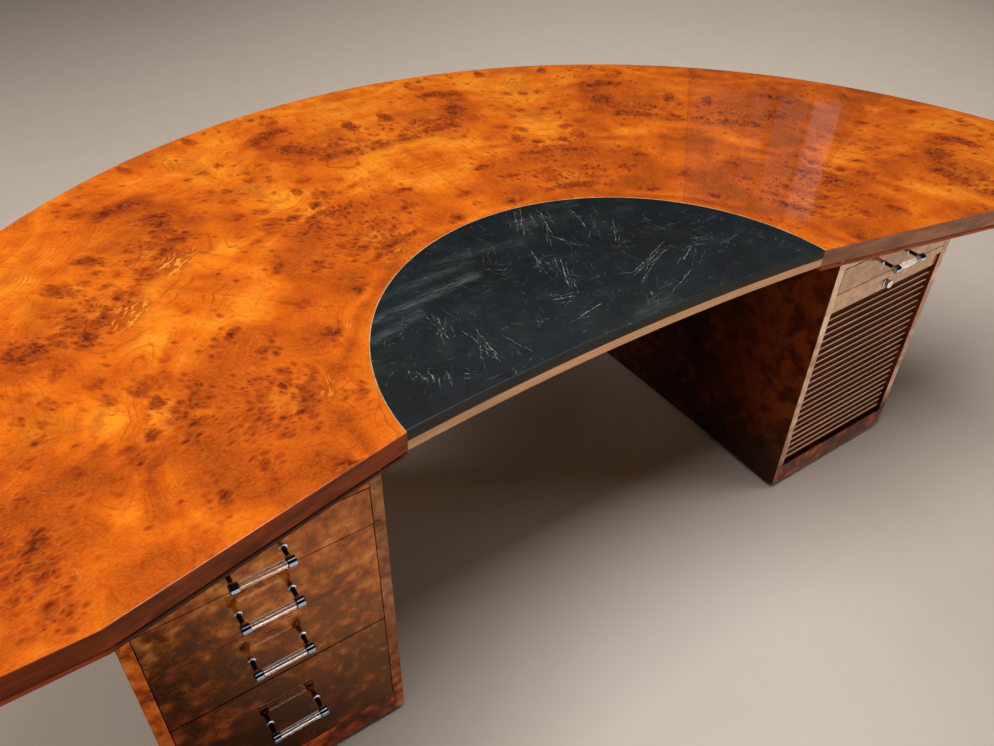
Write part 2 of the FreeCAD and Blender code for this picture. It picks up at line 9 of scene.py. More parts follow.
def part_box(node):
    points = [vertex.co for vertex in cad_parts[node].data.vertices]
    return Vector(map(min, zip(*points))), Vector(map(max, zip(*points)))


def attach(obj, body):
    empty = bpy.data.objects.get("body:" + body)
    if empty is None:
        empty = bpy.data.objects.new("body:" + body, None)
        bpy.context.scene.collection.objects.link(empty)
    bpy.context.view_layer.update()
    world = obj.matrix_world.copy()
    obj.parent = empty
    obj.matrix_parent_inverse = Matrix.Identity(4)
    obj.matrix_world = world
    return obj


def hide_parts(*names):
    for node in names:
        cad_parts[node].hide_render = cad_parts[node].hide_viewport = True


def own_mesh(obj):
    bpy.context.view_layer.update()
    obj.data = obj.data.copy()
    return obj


# Half-round writing desk. Metres, +Z up, +X to the right of the person at the desk, who
# sits on the -Y side. The CAD pieces stay as they are; this script dresses them.

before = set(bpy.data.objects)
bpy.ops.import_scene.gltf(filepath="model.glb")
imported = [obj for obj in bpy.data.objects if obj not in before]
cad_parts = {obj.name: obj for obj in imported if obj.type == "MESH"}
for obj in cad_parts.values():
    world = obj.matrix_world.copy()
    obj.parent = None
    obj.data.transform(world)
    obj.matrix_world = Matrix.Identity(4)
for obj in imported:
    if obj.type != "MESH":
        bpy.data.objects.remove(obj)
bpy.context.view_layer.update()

# ================================================================ places from the frame
veneer_low, veneer_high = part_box("top_veneer")
pad_low, pad_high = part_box("leather_pad")
TOP_Z = veneer_high.z
SKIN = veneer_high.z - veneer_low.z
FRONT_Y = veneer_low.y
ARC_Y = -veneer_high.x ** 2 / (4.0 * veneer_high.y)      # centre of the outer arc
ARC_RADIUS = veneer_high.y - ARC_Y
KINK_X = -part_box("left_side_outer")[0].x
INLAY_RADIUS = pad_high.x
CORNER_Y = pad_high.y - INLAY_RADIUS
STRING_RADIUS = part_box("inlay_stringing")[1].x

MM = 1000.0                  # millimetres in a metre
KNEE_SAG = 0.024             # the knee edge curves back by this much at its middle
NOSE_RADIUS = 0.005
SEAM_SET = 0.072             # the seams meet this far behind the arc's centre
HUB_Y = ARC_Y + SEAM_SET
LEAVES = 8
KNEE_RADIUS = (INLAY_RADIUS ** 2 + KNEE_SAG ** 2) / (2.0 * KNEE_SAG)
KNEE_CENTRE_Y = CORNER_Y + KNEE_SAG - KNEE_RADIUS


# ================================================================ small helpers
def srgb(red, green, blue):
    """Linear colour of an 8-bit sRGB triple."""
    def linear(value):
        value = value / 255.0
        return value / 12.92 if value <= 0.04045 else ((value + 0.055) / 1.055) ** 2.4
    return (linear(red), linear(green), linear(blue), 1.0)


class Value:
    """An output of a node; arithmetic and methods on it add the next node of the same material."""

    def __init__(self, graph, socket):
        self.graph, self.socket = graph, socket

    def __add__(self, other):
        return self.graph.calc("ADD", self, other)

    def __sub__(self, other):
        return self.graph.calc("SUBTRACT", self, other)

    def __rsub__(self, other):
        return self.graph.calc("SUBTRACT", other, self)

    def __mul__(self, other):
        return self.graph.calc("MULTIPLY", self, other)

    def __abs__(self):
        return self.graph.calc("ABSOLUTE", self)

    def max(self, other):
        return self.graph.calc("MAXIMUM", self, other)

    def madd(self, factor, term):
        """This times the factor, plus the term, in one node."""
        return self.graph.calc("MULTIPLY_ADD", self, factor, term)

    def step(self, low, high, most=1.0, least=0.0):
        """Smooth step from least at low to most at high; low may be above high."""
        inputs = {"Value": self, "From Min": low, "From Max": high, "To Min": least, "To Max": most}
        return self.graph.take("ShaderNodeMapRange", 0, inputs, interpolation_type="SMOOTHSTEP")

    def mixed(self, share, other):
        return self.graph.mix(share, self, other)

    def tinted(self, share, red, green, blue):
        """This colour with an 8-bit sRGB colour laid over it."""
        return self.graph.mix(share, self, srgb(red, green, blue))

    def split(self):
        """The three parts of a vector or colour."""
        node = self.graph.add("ShaderNodeSeparateXYZ", {"Vector": self})
        return [Value(self.graph, socket) for socket in node.outputs]

    def stretch(self, scale, turn=(0.0, 0.0, 0.0)):
        inputs = {"Vector": self, "Scale": scale, "Rotation": turn}
        return self.graph.take("ShaderNodeMapping", 0, inputs)

    def vector(self, operation, other):
        """A Vector Math node with another vector, or with a number for SCALE."""
        inputs = {0: self, "Scale" if operation == "SCALE" else 1: other}
        output = "Value" if operation == "DISTANCE" else "Vector"
        return self.graph.take("ShaderNodeVectorMath", output, inputs, operation=operation)

    def noise(self, scale, detail=3.0, rough=0.55, bend=0.0, output="Fac"):
        inputs = {"Vector": self, "Scale": scale, "Detail": detail, "Roughness": rough,
                  "Distortion": bend}
        return self.graph.take("ShaderNodeTexNoise", output, inputs)

    def cells(self, scale, output="Distance", feature="F1"):
        return self.graph.take("ShaderNodeTexVoronoi", output, {"Vector": self, "Scale": scale},
                               feature=feature)

    def warp(self, scale, amount, detail=2.0):
        """This vector moved about by noise, by up to about half the amount."""
        push = self.noise(scale, detail, output="Color").vector("SUBTRACT", (0.5, 0.5, 0.5))
        return self.vector("ADD", push.vector("SCALE", amount))


class Graph:
    """Adds and links the nodes of the world, or of a new material of the name given."""

    def __init__(self, owner):
        self.material = bpy.data.materials.new(owner) if isinstance(owner, str) else owner
        self.material.use_nodes = True
        self.tree = self.material.node_tree
        self.shader = self.tree.nodes.get("Principled BSDF")
        self.coords = None

    def put(self, socket, value):
        """Links a Value to a socket, or sets the socket to a plain number or colour."""
        if isinstance(value, Value):
            self.tree.links.new(value.socket, socket)
        else:
            socket.default_value = value

    def add(self, kind, inputs=None, **settings):
        node = self.tree.nodes.new(kind)
        for key, value in settings.items():
            setattr(node, key, value)
        for key, value in (inputs or {}).items():
            self.put(node.inputs[key], value)
        return node

    def take(self, kind, output, inputs=None, **settings):
        """Adds a node and gives one of its outputs."""
        return Value(self, self.add(kind, inputs, **settings).outputs[output])

    def place(self):
        """Object coordinates, in metres."""
        if self.coords is None:
            self.coords = self.take("ShaderNodeTexCoord", "Object")
        return self.coords

    def attribute(self, name, output="Fac"):
        return self.take("ShaderNodeAttribute", output, attribute_name=name)

    def calc(self, operation, *values):
        return self.take("ShaderNodeMath", 0, dict(enumerate(values)), operation=operation)

    def mix(self, share, first, second):
        """Mix node for colours; its inputs 0, 6 and 7 are the share and the two colours."""
        return self.take("ShaderNodeMix", 2, {0: share, 6: first, 7: second}, data_type="RGBA")

    def ramp(self, value, stops):
        node = self.add("ShaderNodeValToRGB", {"Fac": value})
        marks = node.color_ramp.elements
        while len(marks) < len(stops):
            marks.new(0.5)
        for mark, (place, colour) in zip(marks, stops):
            mark.position, mark.color = place, colour
        return Value(self, node.outputs["Color"])

    def bump(self, height, strength, distance, normal=None):
        inputs = {"Strength": strength, "Distance": distance, "Height": height}
        if normal is not None:
            inputs["Normal"] = normal
        return self.take("ShaderNodeBump", 0, inputs)

    def finish(self, colour, rough, normal=None, **uniform):
        """Links colour, roughness and bump; every other value is the same all over."""
        self.put(self.shader.inputs["Base Color"], colour)
        self.put(self.shader.inputs["Roughness"], rough)
        if normal is not None:
            self.put(self.shader.inputs["Normal"], normal)
        for key, value in uniform.items():
            socket = key.replace("_", " ").title().replace("Ior", "IOR")
            self.shader.inputs[socket].default_value = value
        return self.material


def scene_object(name, data):
    thing = bpy.data.objects.new(name, data)
    bpy.context.scene.collection.objects.link(thing)
    return thing


def new_piece(name, body, mesh, material, sharp=None):
    """A smooth mesh object that rides on a body and takes its finish from a slot.

    Edges that turn by more than sharp degrees stay sharp.
    """
    piece = scene_object(name, mesh)
    mesh.materials.append(material)
    for polygon in mesh.polygons:
        polygon.use_smooth = True
    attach(piece, body)
    if sharp is not None:
        mesh.set_sharp_from_angle(angle=math.radians(sharp))
    return piece


def mesh_from(name, points, faces):
    mesh = bpy.data.meshes.new(name)
    mesh.from_pydata(points, [], faces)
    mesh.validate()
    mesh.update()
    return mesh


def mesh_of(bm, name):
    """The bmesh as a mesh whose faces look outwards."""
    bmesh.ops.recalc_face_normals(bm, faces=bm.faces)
    mesh = bpy.data.meshes.new(name)
    bm.to_mesh(mesh)
    bm.free()
    return mesh


def read_array(items, name, width, kind=np.float32):
    """One property of all items as an array."""
    values = np.zeros(len(items) * width, kind)
    items.foreach_get(name, values)
    return values.reshape(-1, width) if width > 1 else values


def places(mesh):
    return read_array(mesh.vertices, "co", 3).astype(float)


def centres(mesh):
    return read_array(mesh.polygons, "center", 3).astype(float)


def corners(mesh):
    """The vertex number of each face corner, and the number of corners of each face."""
    return (read_array(mesh.loops, "vertex_index", 1, np.int32),
            read_array(mesh.polygons, "loop_total", 1, np.int32))


def add_layer(mesh, name, values, domain="POINT"):
    """Keeps an array as a mesh attribute, with one number or three for each item."""
    kind, key = ("FLOAT_VECTOR", "vector") if values.ndim > 1 else ("FLOAT", "value")
    layer = mesh.attributes.new(name, kind, domain)
    layer.data.foreach_set(key, values.astype(np.float32).ravel())


SOFT_SEGMENTS = 3
SOFT_ANGLE = math.radians(35.0)         # edges that turn by less stay as they are


def soften(piece, width):
    """Rounds the sharp edges of a CAD piece with modifiers."""
    weld = piece.modifiers.new("weld", "WELD")
    weld.merge_threshold = 1e-5
    bevel = piece.modifiers.new("soft edges", "BEVEL")
    bevel.width = width
    bevel.segments = SOFT_SEGMENTS
    bevel.limit_method = "ANGLE"
    bevel.angle_limit = SOFT_ANGLE
    bevel.harden_normals = True


def dress(names, material, bevel=0.0):
    """Gives CAD pieces their material and softened edges."""
    for name in names:
        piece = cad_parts[name]
        piece.data.materials.clear()
        piece.data.materials.append(material)
        if bevel:
            soften(piece, bevel)


# ================================================================ camera, floor and lights
CAMERA_PLACE = Vector((-0.96959, -1.52527, 1.71663))
CAMERA_YAW = math.radians(34.965)       # from +Y towards +X
CAMERA_PITCH = math.radians(39.498)     # below the horizon
CAMERA_ROLL = math.radians(1.095)
CAMERA_LENS = 31.327
CAMERA_SENSOR = 36.0
CAMERA_REACH = 60.0                     # nothing further off is drawn
FRAME_WIDTH = 994.0                     # the photograph's frame, in pixels
FRAME_MIDDLE = (497.0, 373.0)
CAMERA_FOCUS = CAMERA_LENS / CAMERA_SENSOR * FRAME_WIDTH
FLOOR_HALF = 14.0

# Tall windows beyond the right wing, seen only as pale streaks in the lacquer: azimuth from
# +Y towards +X in degrees, width in metres, power in watts.
WINDOWS = [(48.2, 0.30, 0.07), (50.4, 0.22, 0.05), (52.6, 0.16, 0.05), (55.4, 0.26, 0.11),
           (58.2, 0.24, 0.26)]
WINDOW_AIM = Vector((0.75, -0.1, 0.76))
WINDOW_AWAY = 6.0
WINDOW_MIDDLE = 3.45
WINDOW_HEIGHT = 1.1


def camera_axes():
    """The camera's right, up and forward directions."""
    forward = Vector((math.sin(CAMERA_YAW) * math.cos(CAMERA_PITCH),
                      math.cos(CAMERA_YAW) * math.cos(CAMERA_PITCH), -math.sin(CAMERA_PITCH)))
    level = Vector((math.cos(CAMERA_YAW), -math.sin(CAMERA_YAW), 0.0))
    above = level.cross(forward)
    right = level * math.cos(CAMERA_ROLL) + above * math.sin(CAMERA_ROLL)
    up = above * math.cos(CAMERA_ROLL) - level * math.sin(CAMERA_ROLL)
    return right, up, forward


def make_camera():
    right, up, forward = camera_axes()
    data = bpy.data.cameras.new("camera")
    data.lens = CAMERA_LENS
    data.sensor_width = CAMERA_SENSOR
    data.sensor_fit = "HORIZONTAL"
    data.clip_end = CAMERA_REACH
    camera = scene_object("camera", data)
    turn = Matrix((right, up, -forward)).transposed()
    camera.matrix_world = Matrix.Translation(CAMERA_PLACE) @ turn.to_4x4()
    bpy.context.scene.camera = camera


def soft_light(name, place, target, size, power, colour=(1.0, 1.0, 1.0), unlit=(), mirrored=True):
    data = bpy.data.lights.new(name, "AREA")
    data.shape = "RECTANGLE"
    data.size, data.size_y = size
    data.energy = power
    data.color = colour
    light = scene_object(name, data)
    light.location = place
    aim = Vector(target) - Vector(place)
    light.rotation_euler = aim.to_track_quat("-Z", "Y").to_euler()
    light.visible_glossy = mirrored
    if unlit:
        left_out = bpy.data.collections.new("not lit by " + name)
        for piece in unlit:
            left_out.objects.link(piece)
        for member in left_out.collection_objects:
            member.light_linking.link_state = "EXCLUDE"
        light.light_linking.receiver_collection = left_out


def make_floor():
    graph = Graph("studio floor")
    place = graph.place()
    wide = place.noise(0.35, 2.0)
    fine = place.noise(9.0, 4.0)
    across, back, _ = place.split()
    # painted shade: the floor is darker towards the left and paler towards the right
    colour = graph.mix(across.step(-3.0, 1.2), srgb(176, 163, 150), srgb(216, 203, 190))
    colour = colour.tinted(wide.step(0.3, 0.7, 0.20), 196, 184, 170)
    colour = colour.tinted(fine.step(0.3, 0.7, 0.08), 172, 160, 147)
    # painted shadow: the floor is darker under the desk
    under = place.vector("DISTANCE", (0.20, 0.14, 0.0)).step(0.62, 0.12, 0.9)
    colour = colour.tinted(under, 124, 114, 104)
    # painted light: a paler pool on the floor ahead of the desk
    ahead = place.vector("DISTANCE", (0.05, -0.95, 0.0)).step(0.80, 0.15, 0.8)
    colour = colour.tinted(ahead, 236, 225, 214)
    # painted shade: mirror rays see the floor darker here, so the left pedestal's fronts mirror a
    # darker floor towards their left and foot
    rays = graph.add("ShaderNodeLightPath").outputs
    mirrored, seen = (Value(graph, rays[name]) for name in ("Is Glossy Ray", "Is Camera Ray"))
    lean = (back + 0.9).madd(-0.35, across)
    dim = lean.step(-0.55, -1.0, 0.85) * mirrored
    colour = colour.tinted(dim, 20, 16, 12)
    # far off, the camera sees a paler studio
    away = place.vector("DISTANCE", (3.4, 2.4, 0.0))
    glow = away.step(4.0, 0.4, 0.17) * seen
    # painted light: the floor glows for mirror rays only, so lacquer and chrome mirror a brighter
    # studio ahead of the desk and of the right pedestal
    front = back.step(-1.15, -1.5, 0.70)
    mirror_glow_patch = across.step(0.15, 0.45) * back.step(-0.84, -1.06, 0.50)
    shine = front.max(mirror_glow_patch) * mirrored
    graph.put(graph.shader.inputs["Emission Strength"], glow + shine)
    graph.put(graph.shader.inputs["Emission Color"], srgb(255, 236, 212))
    material = graph.finish(colour, 0.75, specular_ior_level=0.2)
    points = [(x * FLOOR_HALF, y * FLOOR_HALF, 0.0) for x, y in ((-1, -1), (1, -1), (1, 1), (-1, 1))]
    mesh = mesh_from("studio floor", points, [(0, 1, 2, 3)])
    mesh.materials.append(material)
    floor = scene_object("studio_floor", mesh)
    return floor


def make_world():
    """Dim light from all round; the camera and glass see a pale backdrop."""
    world = bpy.data.worlds.new("studio")
    bpy.context.scene.world = world
    graph = Graph(world)
    rays = graph.add("ShaderNodeLightPath").outputs
    seen, through = (Value(graph, rays[name]) for name in ("Is Camera Ray", "Is Transmission Ray"))
    strength = graph.take("ShaderNodeMix", 0, {0: seen.max(through), 2: 0.075, 3: 1.0})
    background = world.node_tree.nodes["Background"]
    graph.put(background.inputs["Strength"], strength)
    graph.put(background.inputs["Color"], srgb(176, 162, 148))


def make_lights(unlit):
    soft_light("key from the left", (-4.0, 1.3, 2.6), (-0.3, 0.0, 0.6), (2.2, 1.8), 135.0,
               (1.0, 0.97, 0.93), mirrored=False)
    soft_light("overhead", (0.2, -0.3, 4.6), (0.2, -0.3, 0.0), (4.6, 2.8), 175.0, (1.0, 0.98, 0.96))
    soft_light("right front", (4.6, -3.0, 2.6), (0.8, -0.6, 0.4), (2.2, 1.8), 40.0,
               (1.0, 0.98, 0.95), mirrored=False)
    soft_light("low front", (0.9, -5.2, 0.6), (0.0, -0.6, 0.42), (4.5, 0.9), 80.0,
               (0.90, 0.95, 1.0), unlit)
    for azimuth, width, power in WINDOWS:
        turn = math.radians(azimuth)
        middle = WINDOW_AIM + Vector((math.sin(turn), math.cos(turn), 0.0)) * WINDOW_AWAY
        middle.z = WINDOW_MIDDLE
        soft_light("window %d" % azimuth, middle, WINDOW_AIM, (width, WINDOW_HEIGHT), power)


# ================================================================ burl figure of the top
# One leaf of veneer, as degrees from its first seam and distance from the hub where all
# seams meet. Every second leaf is turned over, so the figure is mirrored at each seam.
# Blobs: degrees, then millimetres from the hub, half width across and half width along, and
# strength in hundredths.
DARK_BLOBS = [
    (11.0, 1275, 34, 17, 100), (12.7, 1262, 26, 20, 95), (13.9, 1248, 16, 16, 70),
    (13.4, 1215, 14, 14, 60), (9.6, 1330, 18, 24, 55), (8.6, 1356, 10, 10, 55), (9.3, 1380, 9, 9, 50),
    (10.6, 1386, 10, 10, 50), (11.8, 1402, 10, 10, 50), (12.6, 1384, 10, 10, 50),
    (13.2, 1412, 12, 10, 50), (14.6, 1392, 9, 9, 45), (18.5, 1390, 13, 18, 75), (17.6, 1265, 9, 9, 40),
    (20.0, 1224, 15, 13, 45), (22.0, 1222, 13, 12, 70), (12.1, 1160, 30, 26, 100),
    (11.3, 1125, 22, 20, 75), (10.4, 1105, 20, 16, 80), (8.8, 1066, 32, 18, 100),
    (6.4, 1060, 30, 18, 85), (7.2, 1110, 34, 26, 62), (8.8, 1118, 28, 24, 62), (5.6, 1118, 24, 22, 55),
    (6.1, 1150, 18, 18, 40), (2.5, 1182, 16, 30, 90), (1.1, 1143, 11, 11, 65), (3.6, 1108, 14, 12, 60),
    (4.6, 1100, 12, 12, 50), (1.0, 1104, 12, 10, 50), (3.0, 1090, 10, 10, 40), (2.2, 1062, 18, 10, 80),
    (1.9, 1040, 40, 8, 65), (14.6, 1086, 17, 13, 60), (17.4, 1116, 14, 10, 45),
    (19.1, 1068, 14, 10, 60), (18.4, 1086, 10, 10, 50), (20.7, 1106, 10, 10, 50),
    (21.5, 1072, 10, 9, 50), (17.6, 1150, 18, 12, 35), (19.4, 1140, 18, 14, 32),
    (16.7, 1010, 13, 12, 60), (18.8, 982, 22, 14, 60), (20.7, 966, 13, 8, 45), (17.0, 918, 24, 26, 62),
    (16.2, 902, 14, 18, 45), (20.3, 905, 17, 12, 100), (22.3, 910, 20, 10, 50),
    (19.2, 842, 36, 12, 100), (21.4, 862, 22, 14, 60), (20.6, 815, 22, 16, 62), (12.6, 908, 14, 12, 30),
    (8.2, 804, 22, 11, 95), (10.4, 822, 8, 6, 60), (12.4, 815, 12, 10, 50), (11.1, 740, 18, 10, 80),
    (10.0, 728, 22, 12, 55), (12.6, 745, 14, 10, 40), (19.0, 735, 42, 26, 62), (17.6, 722, 24, 16, 50),
    (18.8, 694, 30, 14, 62), (22.0, 656, 42, 13, 95), (20.4, 664, 18, 10, 60), (16.2, 652, 16, 10, 62),
    (6.9, 624, 20, 14, 90), (0.1, 712, 10, 22, 70), (0.8, 700, 10, 12, 45), (0.5, 655, 7, 9, 45),
    (20.9, 560, 26, 10, 50), (17.2, 598, 12, 7, 40), (14.0, 700, 12, 8, 30), (5.8, 585, 10, 6, 35),
]
# Wide reddish clouds round the clusters, given in the same way.
CLOUDS = [
    (18.8, 745, 110, 75, 95), (20.5, 850, 85, 45, 80), (8.0, 1100, 120, 60, 75),
    (3.5, 1035, 120, 22, 90), (11.8, 1180, 60, 80, 60), (18.5, 1110, 90, 75, 42),
    (14.5, 1050, 80, 35, 45), (12.0, 735, 60, 30, 40), (21.5, 650, 90, 30, 70), (9.0, 985, 120, 22, 50),
    (1.5, 715, 50, 50, 35), (20.5, 565, 100, 30, 50), (2.0, 850, 60, 30, 25), (17.0, 920, 60, 45, 35),
    (11.5, 1380, 80, 40, 35),
]
# Short bright dashes of curled grain, given in the same way.
CURLS = [
    (5.3, 1015, 36, 20, 100), (4.0, 1090, 60, 30, 30), (21.0, 620, 50, 14, 45), (9.5, 770, 50, 30, 28),
]
CURLED_LEAVES = (5, 6)
SEAM_TURNS = [0.0, 22.5, 45.0, 67.5, 90.0, 112.5, 135.0, 158.2, 180.0]     # degrees
LEAF_TONES = [0.02, -0.22, -0.04, 0.02, 0.12, 0.02, 0.12, 0.02]     # light or dark, leaf by leaf
# Patches that are lighter or darker: pixel of the photograph's frame, metres, amount.
TONE_SPOTS = [
    ((100, 590), 0.22, -0.26), ((967, 155), 0.16, 0.46), ((450, 88), 0.30, 0.22),
    ((905, 185), 0.12, -0.20), ((872, 120), 0.16, -0.26), ((660, 155), 0.14, -0.16),
    ((40, 480), 0.12, -0.10), ((330, 320), 0.12, -0.10),
]
LEAF_SHIFT = 0.004           # how far each leaf was cut below the one before
RAY_STEP = math.radians(0.33)
VENEER_ROWS = 150
# The rounded arris: how far in from the edge, and how far down.
ARRIS = [(0.0, 0.0003), (0.00015, 0.00015), (0.0004, 0.00004), (0.0008, 0.0)]
ARRIS_ROOM = 0.02            # narrower strips of veneer keep their square edges
SKIN_LIFT = 0.0001           # the sheet's underside stays this far above the core


def noise_field(points, scale, seed):
    """Smooth noise from -1 to 1 at each point."""
    shift = Vector((seed * 7.31, seed * 3.17, seed * 5.23))
    return np.array([noise.noise(Vector(p) * scale + shift) for p in points])


def from_spot(across, out, turn, radius):
    """Metres across the leaf and along it from a spot given in degrees and millimetres."""
    return np.radians(across - turn) * (radius / MM), out - radius / MM


def bell(side, wide, along, long):
    return np.exp(-0.5 * ((side / wide) ** 2 + (along / long) ** 2))


def blob_sum(across, out, blobs):
    """Sum of soft spots in leaf coordinates."""
    total = np.zeros_like(out)
    for turn, radius, wide, long, strength in blobs:
        side, along = from_spot(across, out, turn, radius)
        total = np.maximum(total, strength / 100.0 * bell(side, wide / MM, along, long / MM))
    return total


# Hills and hollows whose contours are the grain: degrees, then millimetres from the hub, half
# width across, half width along and height.
GRAIN_HILLS = [
    (2.0, 1400, 110, 130, 120), (13.0, 1255, 55, 50, -50), (17.5, 1340, 60, 70, 40),
    (9.0, 1110, 80, 55, -70), (1.5, 1180, 50, 45, -45), (14.2, 935, 55, 40, 60),
    (19.5, 850, 60, 45, -45), (1.5, 720, 90, 90, 90), (18.5, 730, 80, 60, -60), (8.0, 620, 60, 40, 35),
    (9.0, 800, 50, 30, -30), (20.0, 1120, 60, 50, 40), (5.0, 930, 120, 40, 30),
]


def grain_height(across, out):
    """A slope away from the hub with hills and hollows on it."""
    height = 0.36 * out
    for turn, radius, wide, long, rise in GRAIN_HILLS:
        side, along = from_spot(across, out, turn, radius)
        height = height + 0.55 * (rise / MM) * bell(side, wide / MM, along, long / MM)
    return height


def leaf_outline(turn):
    """Distances from the hub to the inner and outer edge of the veneer along one ray."""
    cos, sin = math.cos(turn), math.sin(turn)
    drop = HUB_Y - ARC_Y
    outer = -drop * sin + math.sqrt(ARC_RADIUS ** 2 - (drop * cos) ** 2)
    if sin < 0.0:
        outer = min(outer, (HUB_Y - FRONT_Y) / -sin)
    drop = HUB_Y - CORNER_Y
    inner = -drop * sin + math.sqrt(max(STRING_RADIUS ** 2 - (drop * cos) ** 2, 0.0))
    # the slanting wing front from the kink to the pad's corner
    ax, ay = KINK_X, FRONT_Y - HUB_Y
    bx, by = INLAY_RADIUS, CORNER_Y - HUB_Y
    edge_x, edge_y = bx - ax, by - ay
    cross = abs(cos) * edge_y - sin * edge_x
    slant = (ax * edge_y - ay * edge_x) / cross if abs(cross) > 1e-9 else 0.0
    meeting_y = slant * sin
    if meeting_y <= by + 1e-4 and slant > 0.0:
        inner = slant
    return inner, max(outer, inner)


def veneer_turns():
    """Ray angles: even steps between the seams, the kinks and the pad's corners."""
    kink = math.atan2(FRONT_Y - HUB_Y, KINK_X)
    tip = math.atan2(FRONT_Y - HUB_Y, veneer_high.x)
    corner = math.atan2(CORNER_Y - HUB_Y, STRING_RADIUS)
    marks = [kink, tip, 0.0, corner] + [i * math.pi / LEAVES for i in range(1, LEAVES // 2 + 1)]
    half = [kink]
    for start, end in zip(marks, marks[1:]):
        steps = max(2, round((end - start) / RAY_STEP))
        half.extend(np.linspace(start, end, steps + 1)[1:])
    return np.array(half + [math.pi - turn for turn in half[-2::-1]])


def veneer_column(turn, rows):
    """Points along one ray, close together at both rounded edges."""
    inner, outer = leaf_outline(turn)
    spots = [[inner + (outer - inner) * i / (rows - 1), 0.0] for i in range(rows)]
    if outer - inner > ARRIS_ROOM:
        for i, (away, low) in enumerate(ARRIS):
            spots[i] = [inner + away, low]
            spots[rows - 1 - i] = [outer - away, low]
    return [(r * math.cos(turn), HUB_Y + r * math.sin(turn), TOP_Z - low) for r, low in spots]


def veneer_top():
    """The eight leaves as one closed sheet, with the burl's figure kept in mesh attributes."""
    turns = veneer_turns()
    rows = VENEER_ROWS
    points, faces = [], []
    for turn in turns:
        points.extend(veneer_column(turn, rows))
    for a in range(len(turns) - 1):
        for b in range(rows - 1):
            first = a * rows + b
            faces.append((first, first + 1, first + rows + 1, first + rows))
    firsts = [a * rows for a in range(len(turns))]
    rim = [first + rows - 1 for first in firsts] + firsts[::-1]
    under = len(points)
    for v in rim:
        points.append((points[v][0], points[v][1], TOP_Z - SKIN + SKIN_LIFT))
    for k in range(len(rim)):
        after = (k + 1) % len(rim)
        faces.append((rim[k], under + k, under + after, rim[after]))
    faces.append(tuple(range(under, len(points))))
    mesh = mesh_from("top veneer sheet", points, faces)
    add_figure(mesh)
    piece = new_piece("veneer_sheet", "desk", mesh, top_burl(), sharp=30.0)
    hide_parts("top_veneer")
    return piece


def hub_turn(place):
    """Degrees about the hub, from -90 to 270."""
    turn = np.degrees(np.arctan2(place[:, 1] - HUB_Y, place[:, 0]))
    return np.where(turn < -90.0, turn + 360.0, turn)


def leaf_number(turn):
    return np.clip(np.searchsorted(SEAM_TURNS, turn) - 1, 0, LEAVES - 1)


def across_leaf(turn, number):
    """Degrees across the leaf from its first seam; every second leaf is turned over."""
    start = np.array(SEAM_TURNS)[number]
    end = np.array(SEAM_TURNS)[number + 1]
    share = np.where(number % 2 == 0, turn - start, end - turn) / (end - start)
    return share * 180.0 / LEAVES


def add_figure(mesh):
    """Leaf coordinates, dark blobs, clouds, grain height and tone of the veneer."""
    place = places(mesh)
    turn = hub_turn(place)
    out = np.hypot(place[:, 0], place[:, 1] - HUB_Y)
    number = leaf_number(turn)
    across = across_leaf(turn, number)
    leaf = np.stack([np.radians(across) * out, out, number * LEAF_SHIFT], 1)
    bend_a = noise_field(leaf, 14.0, 1.0)
    bend_b = noise_field(leaf, 14.0, 2.0)
    fine_a = noise_field(leaf, 42.0, 3.0)
    fine_b = noise_field(leaf, 42.0, 4.0)
    wide_a = noise_field(leaf, 5.5, 5.0)
    out_bent = out + 0.010 * bend_a + 0.005 * fine_a
    across_bent = across + np.degrees((0.010 * bend_b + 0.005 * fine_b) / out)
    seam_turns = np.array(SEAM_TURNS[1:-1])
    seam = np.min(np.abs(np.sin(np.radians(turn[:, None] - seam_turns[None, :]))), axis=1) * out
    curled = np.where(np.isin(number, CURLED_LEAVES), 1.0, 0.28)
    height = grain_height(across, out) + 0.026 * wide_a + 0.011 * bend_b + 0.0016 * fine_a
    spots = {"burl": blob_sum(across_bent, out_bent, DARK_BLOBS),
             "cloud": blob_sum(across_bent, out_bent, CLOUDS),
             "curls": blob_sum(across_bent, out_bent, CURLS) * curled,
             "height": height,
             "seam": seam}
    for name, value in spots.items():
        add_layer(mesh, name, value)
    # the leaf coordinates and the tone jump at a seam, so each face corner has its own
    corner, sides = corners(mesh)
    mine = np.repeat(leaf_number(hub_turn(centres(mesh))), sides)
    corner_across = across_leaf(turn[corner], mine)
    corner_out = out[corner]
    arc = np.radians(corner_across) * corner_out
    add_layer(mesh, "leaf", np.stack([arc, corner_out, mine * LEAF_SHIFT], 1), "CORNER")
    patch = np.zeros(len(place))
    for pixel, reach, amount in TONE_SPOTS:
        away = np.linalg.norm(place[:, :2] - np.array(on_top(pixel)[:2]), axis=1)
        patch += amount * np.exp(-0.5 * (away / reach) ** 2)
    add_layer(mesh, "tone", np.array(LEAF_TONES)[mine] + patch[corner], "CORNER")


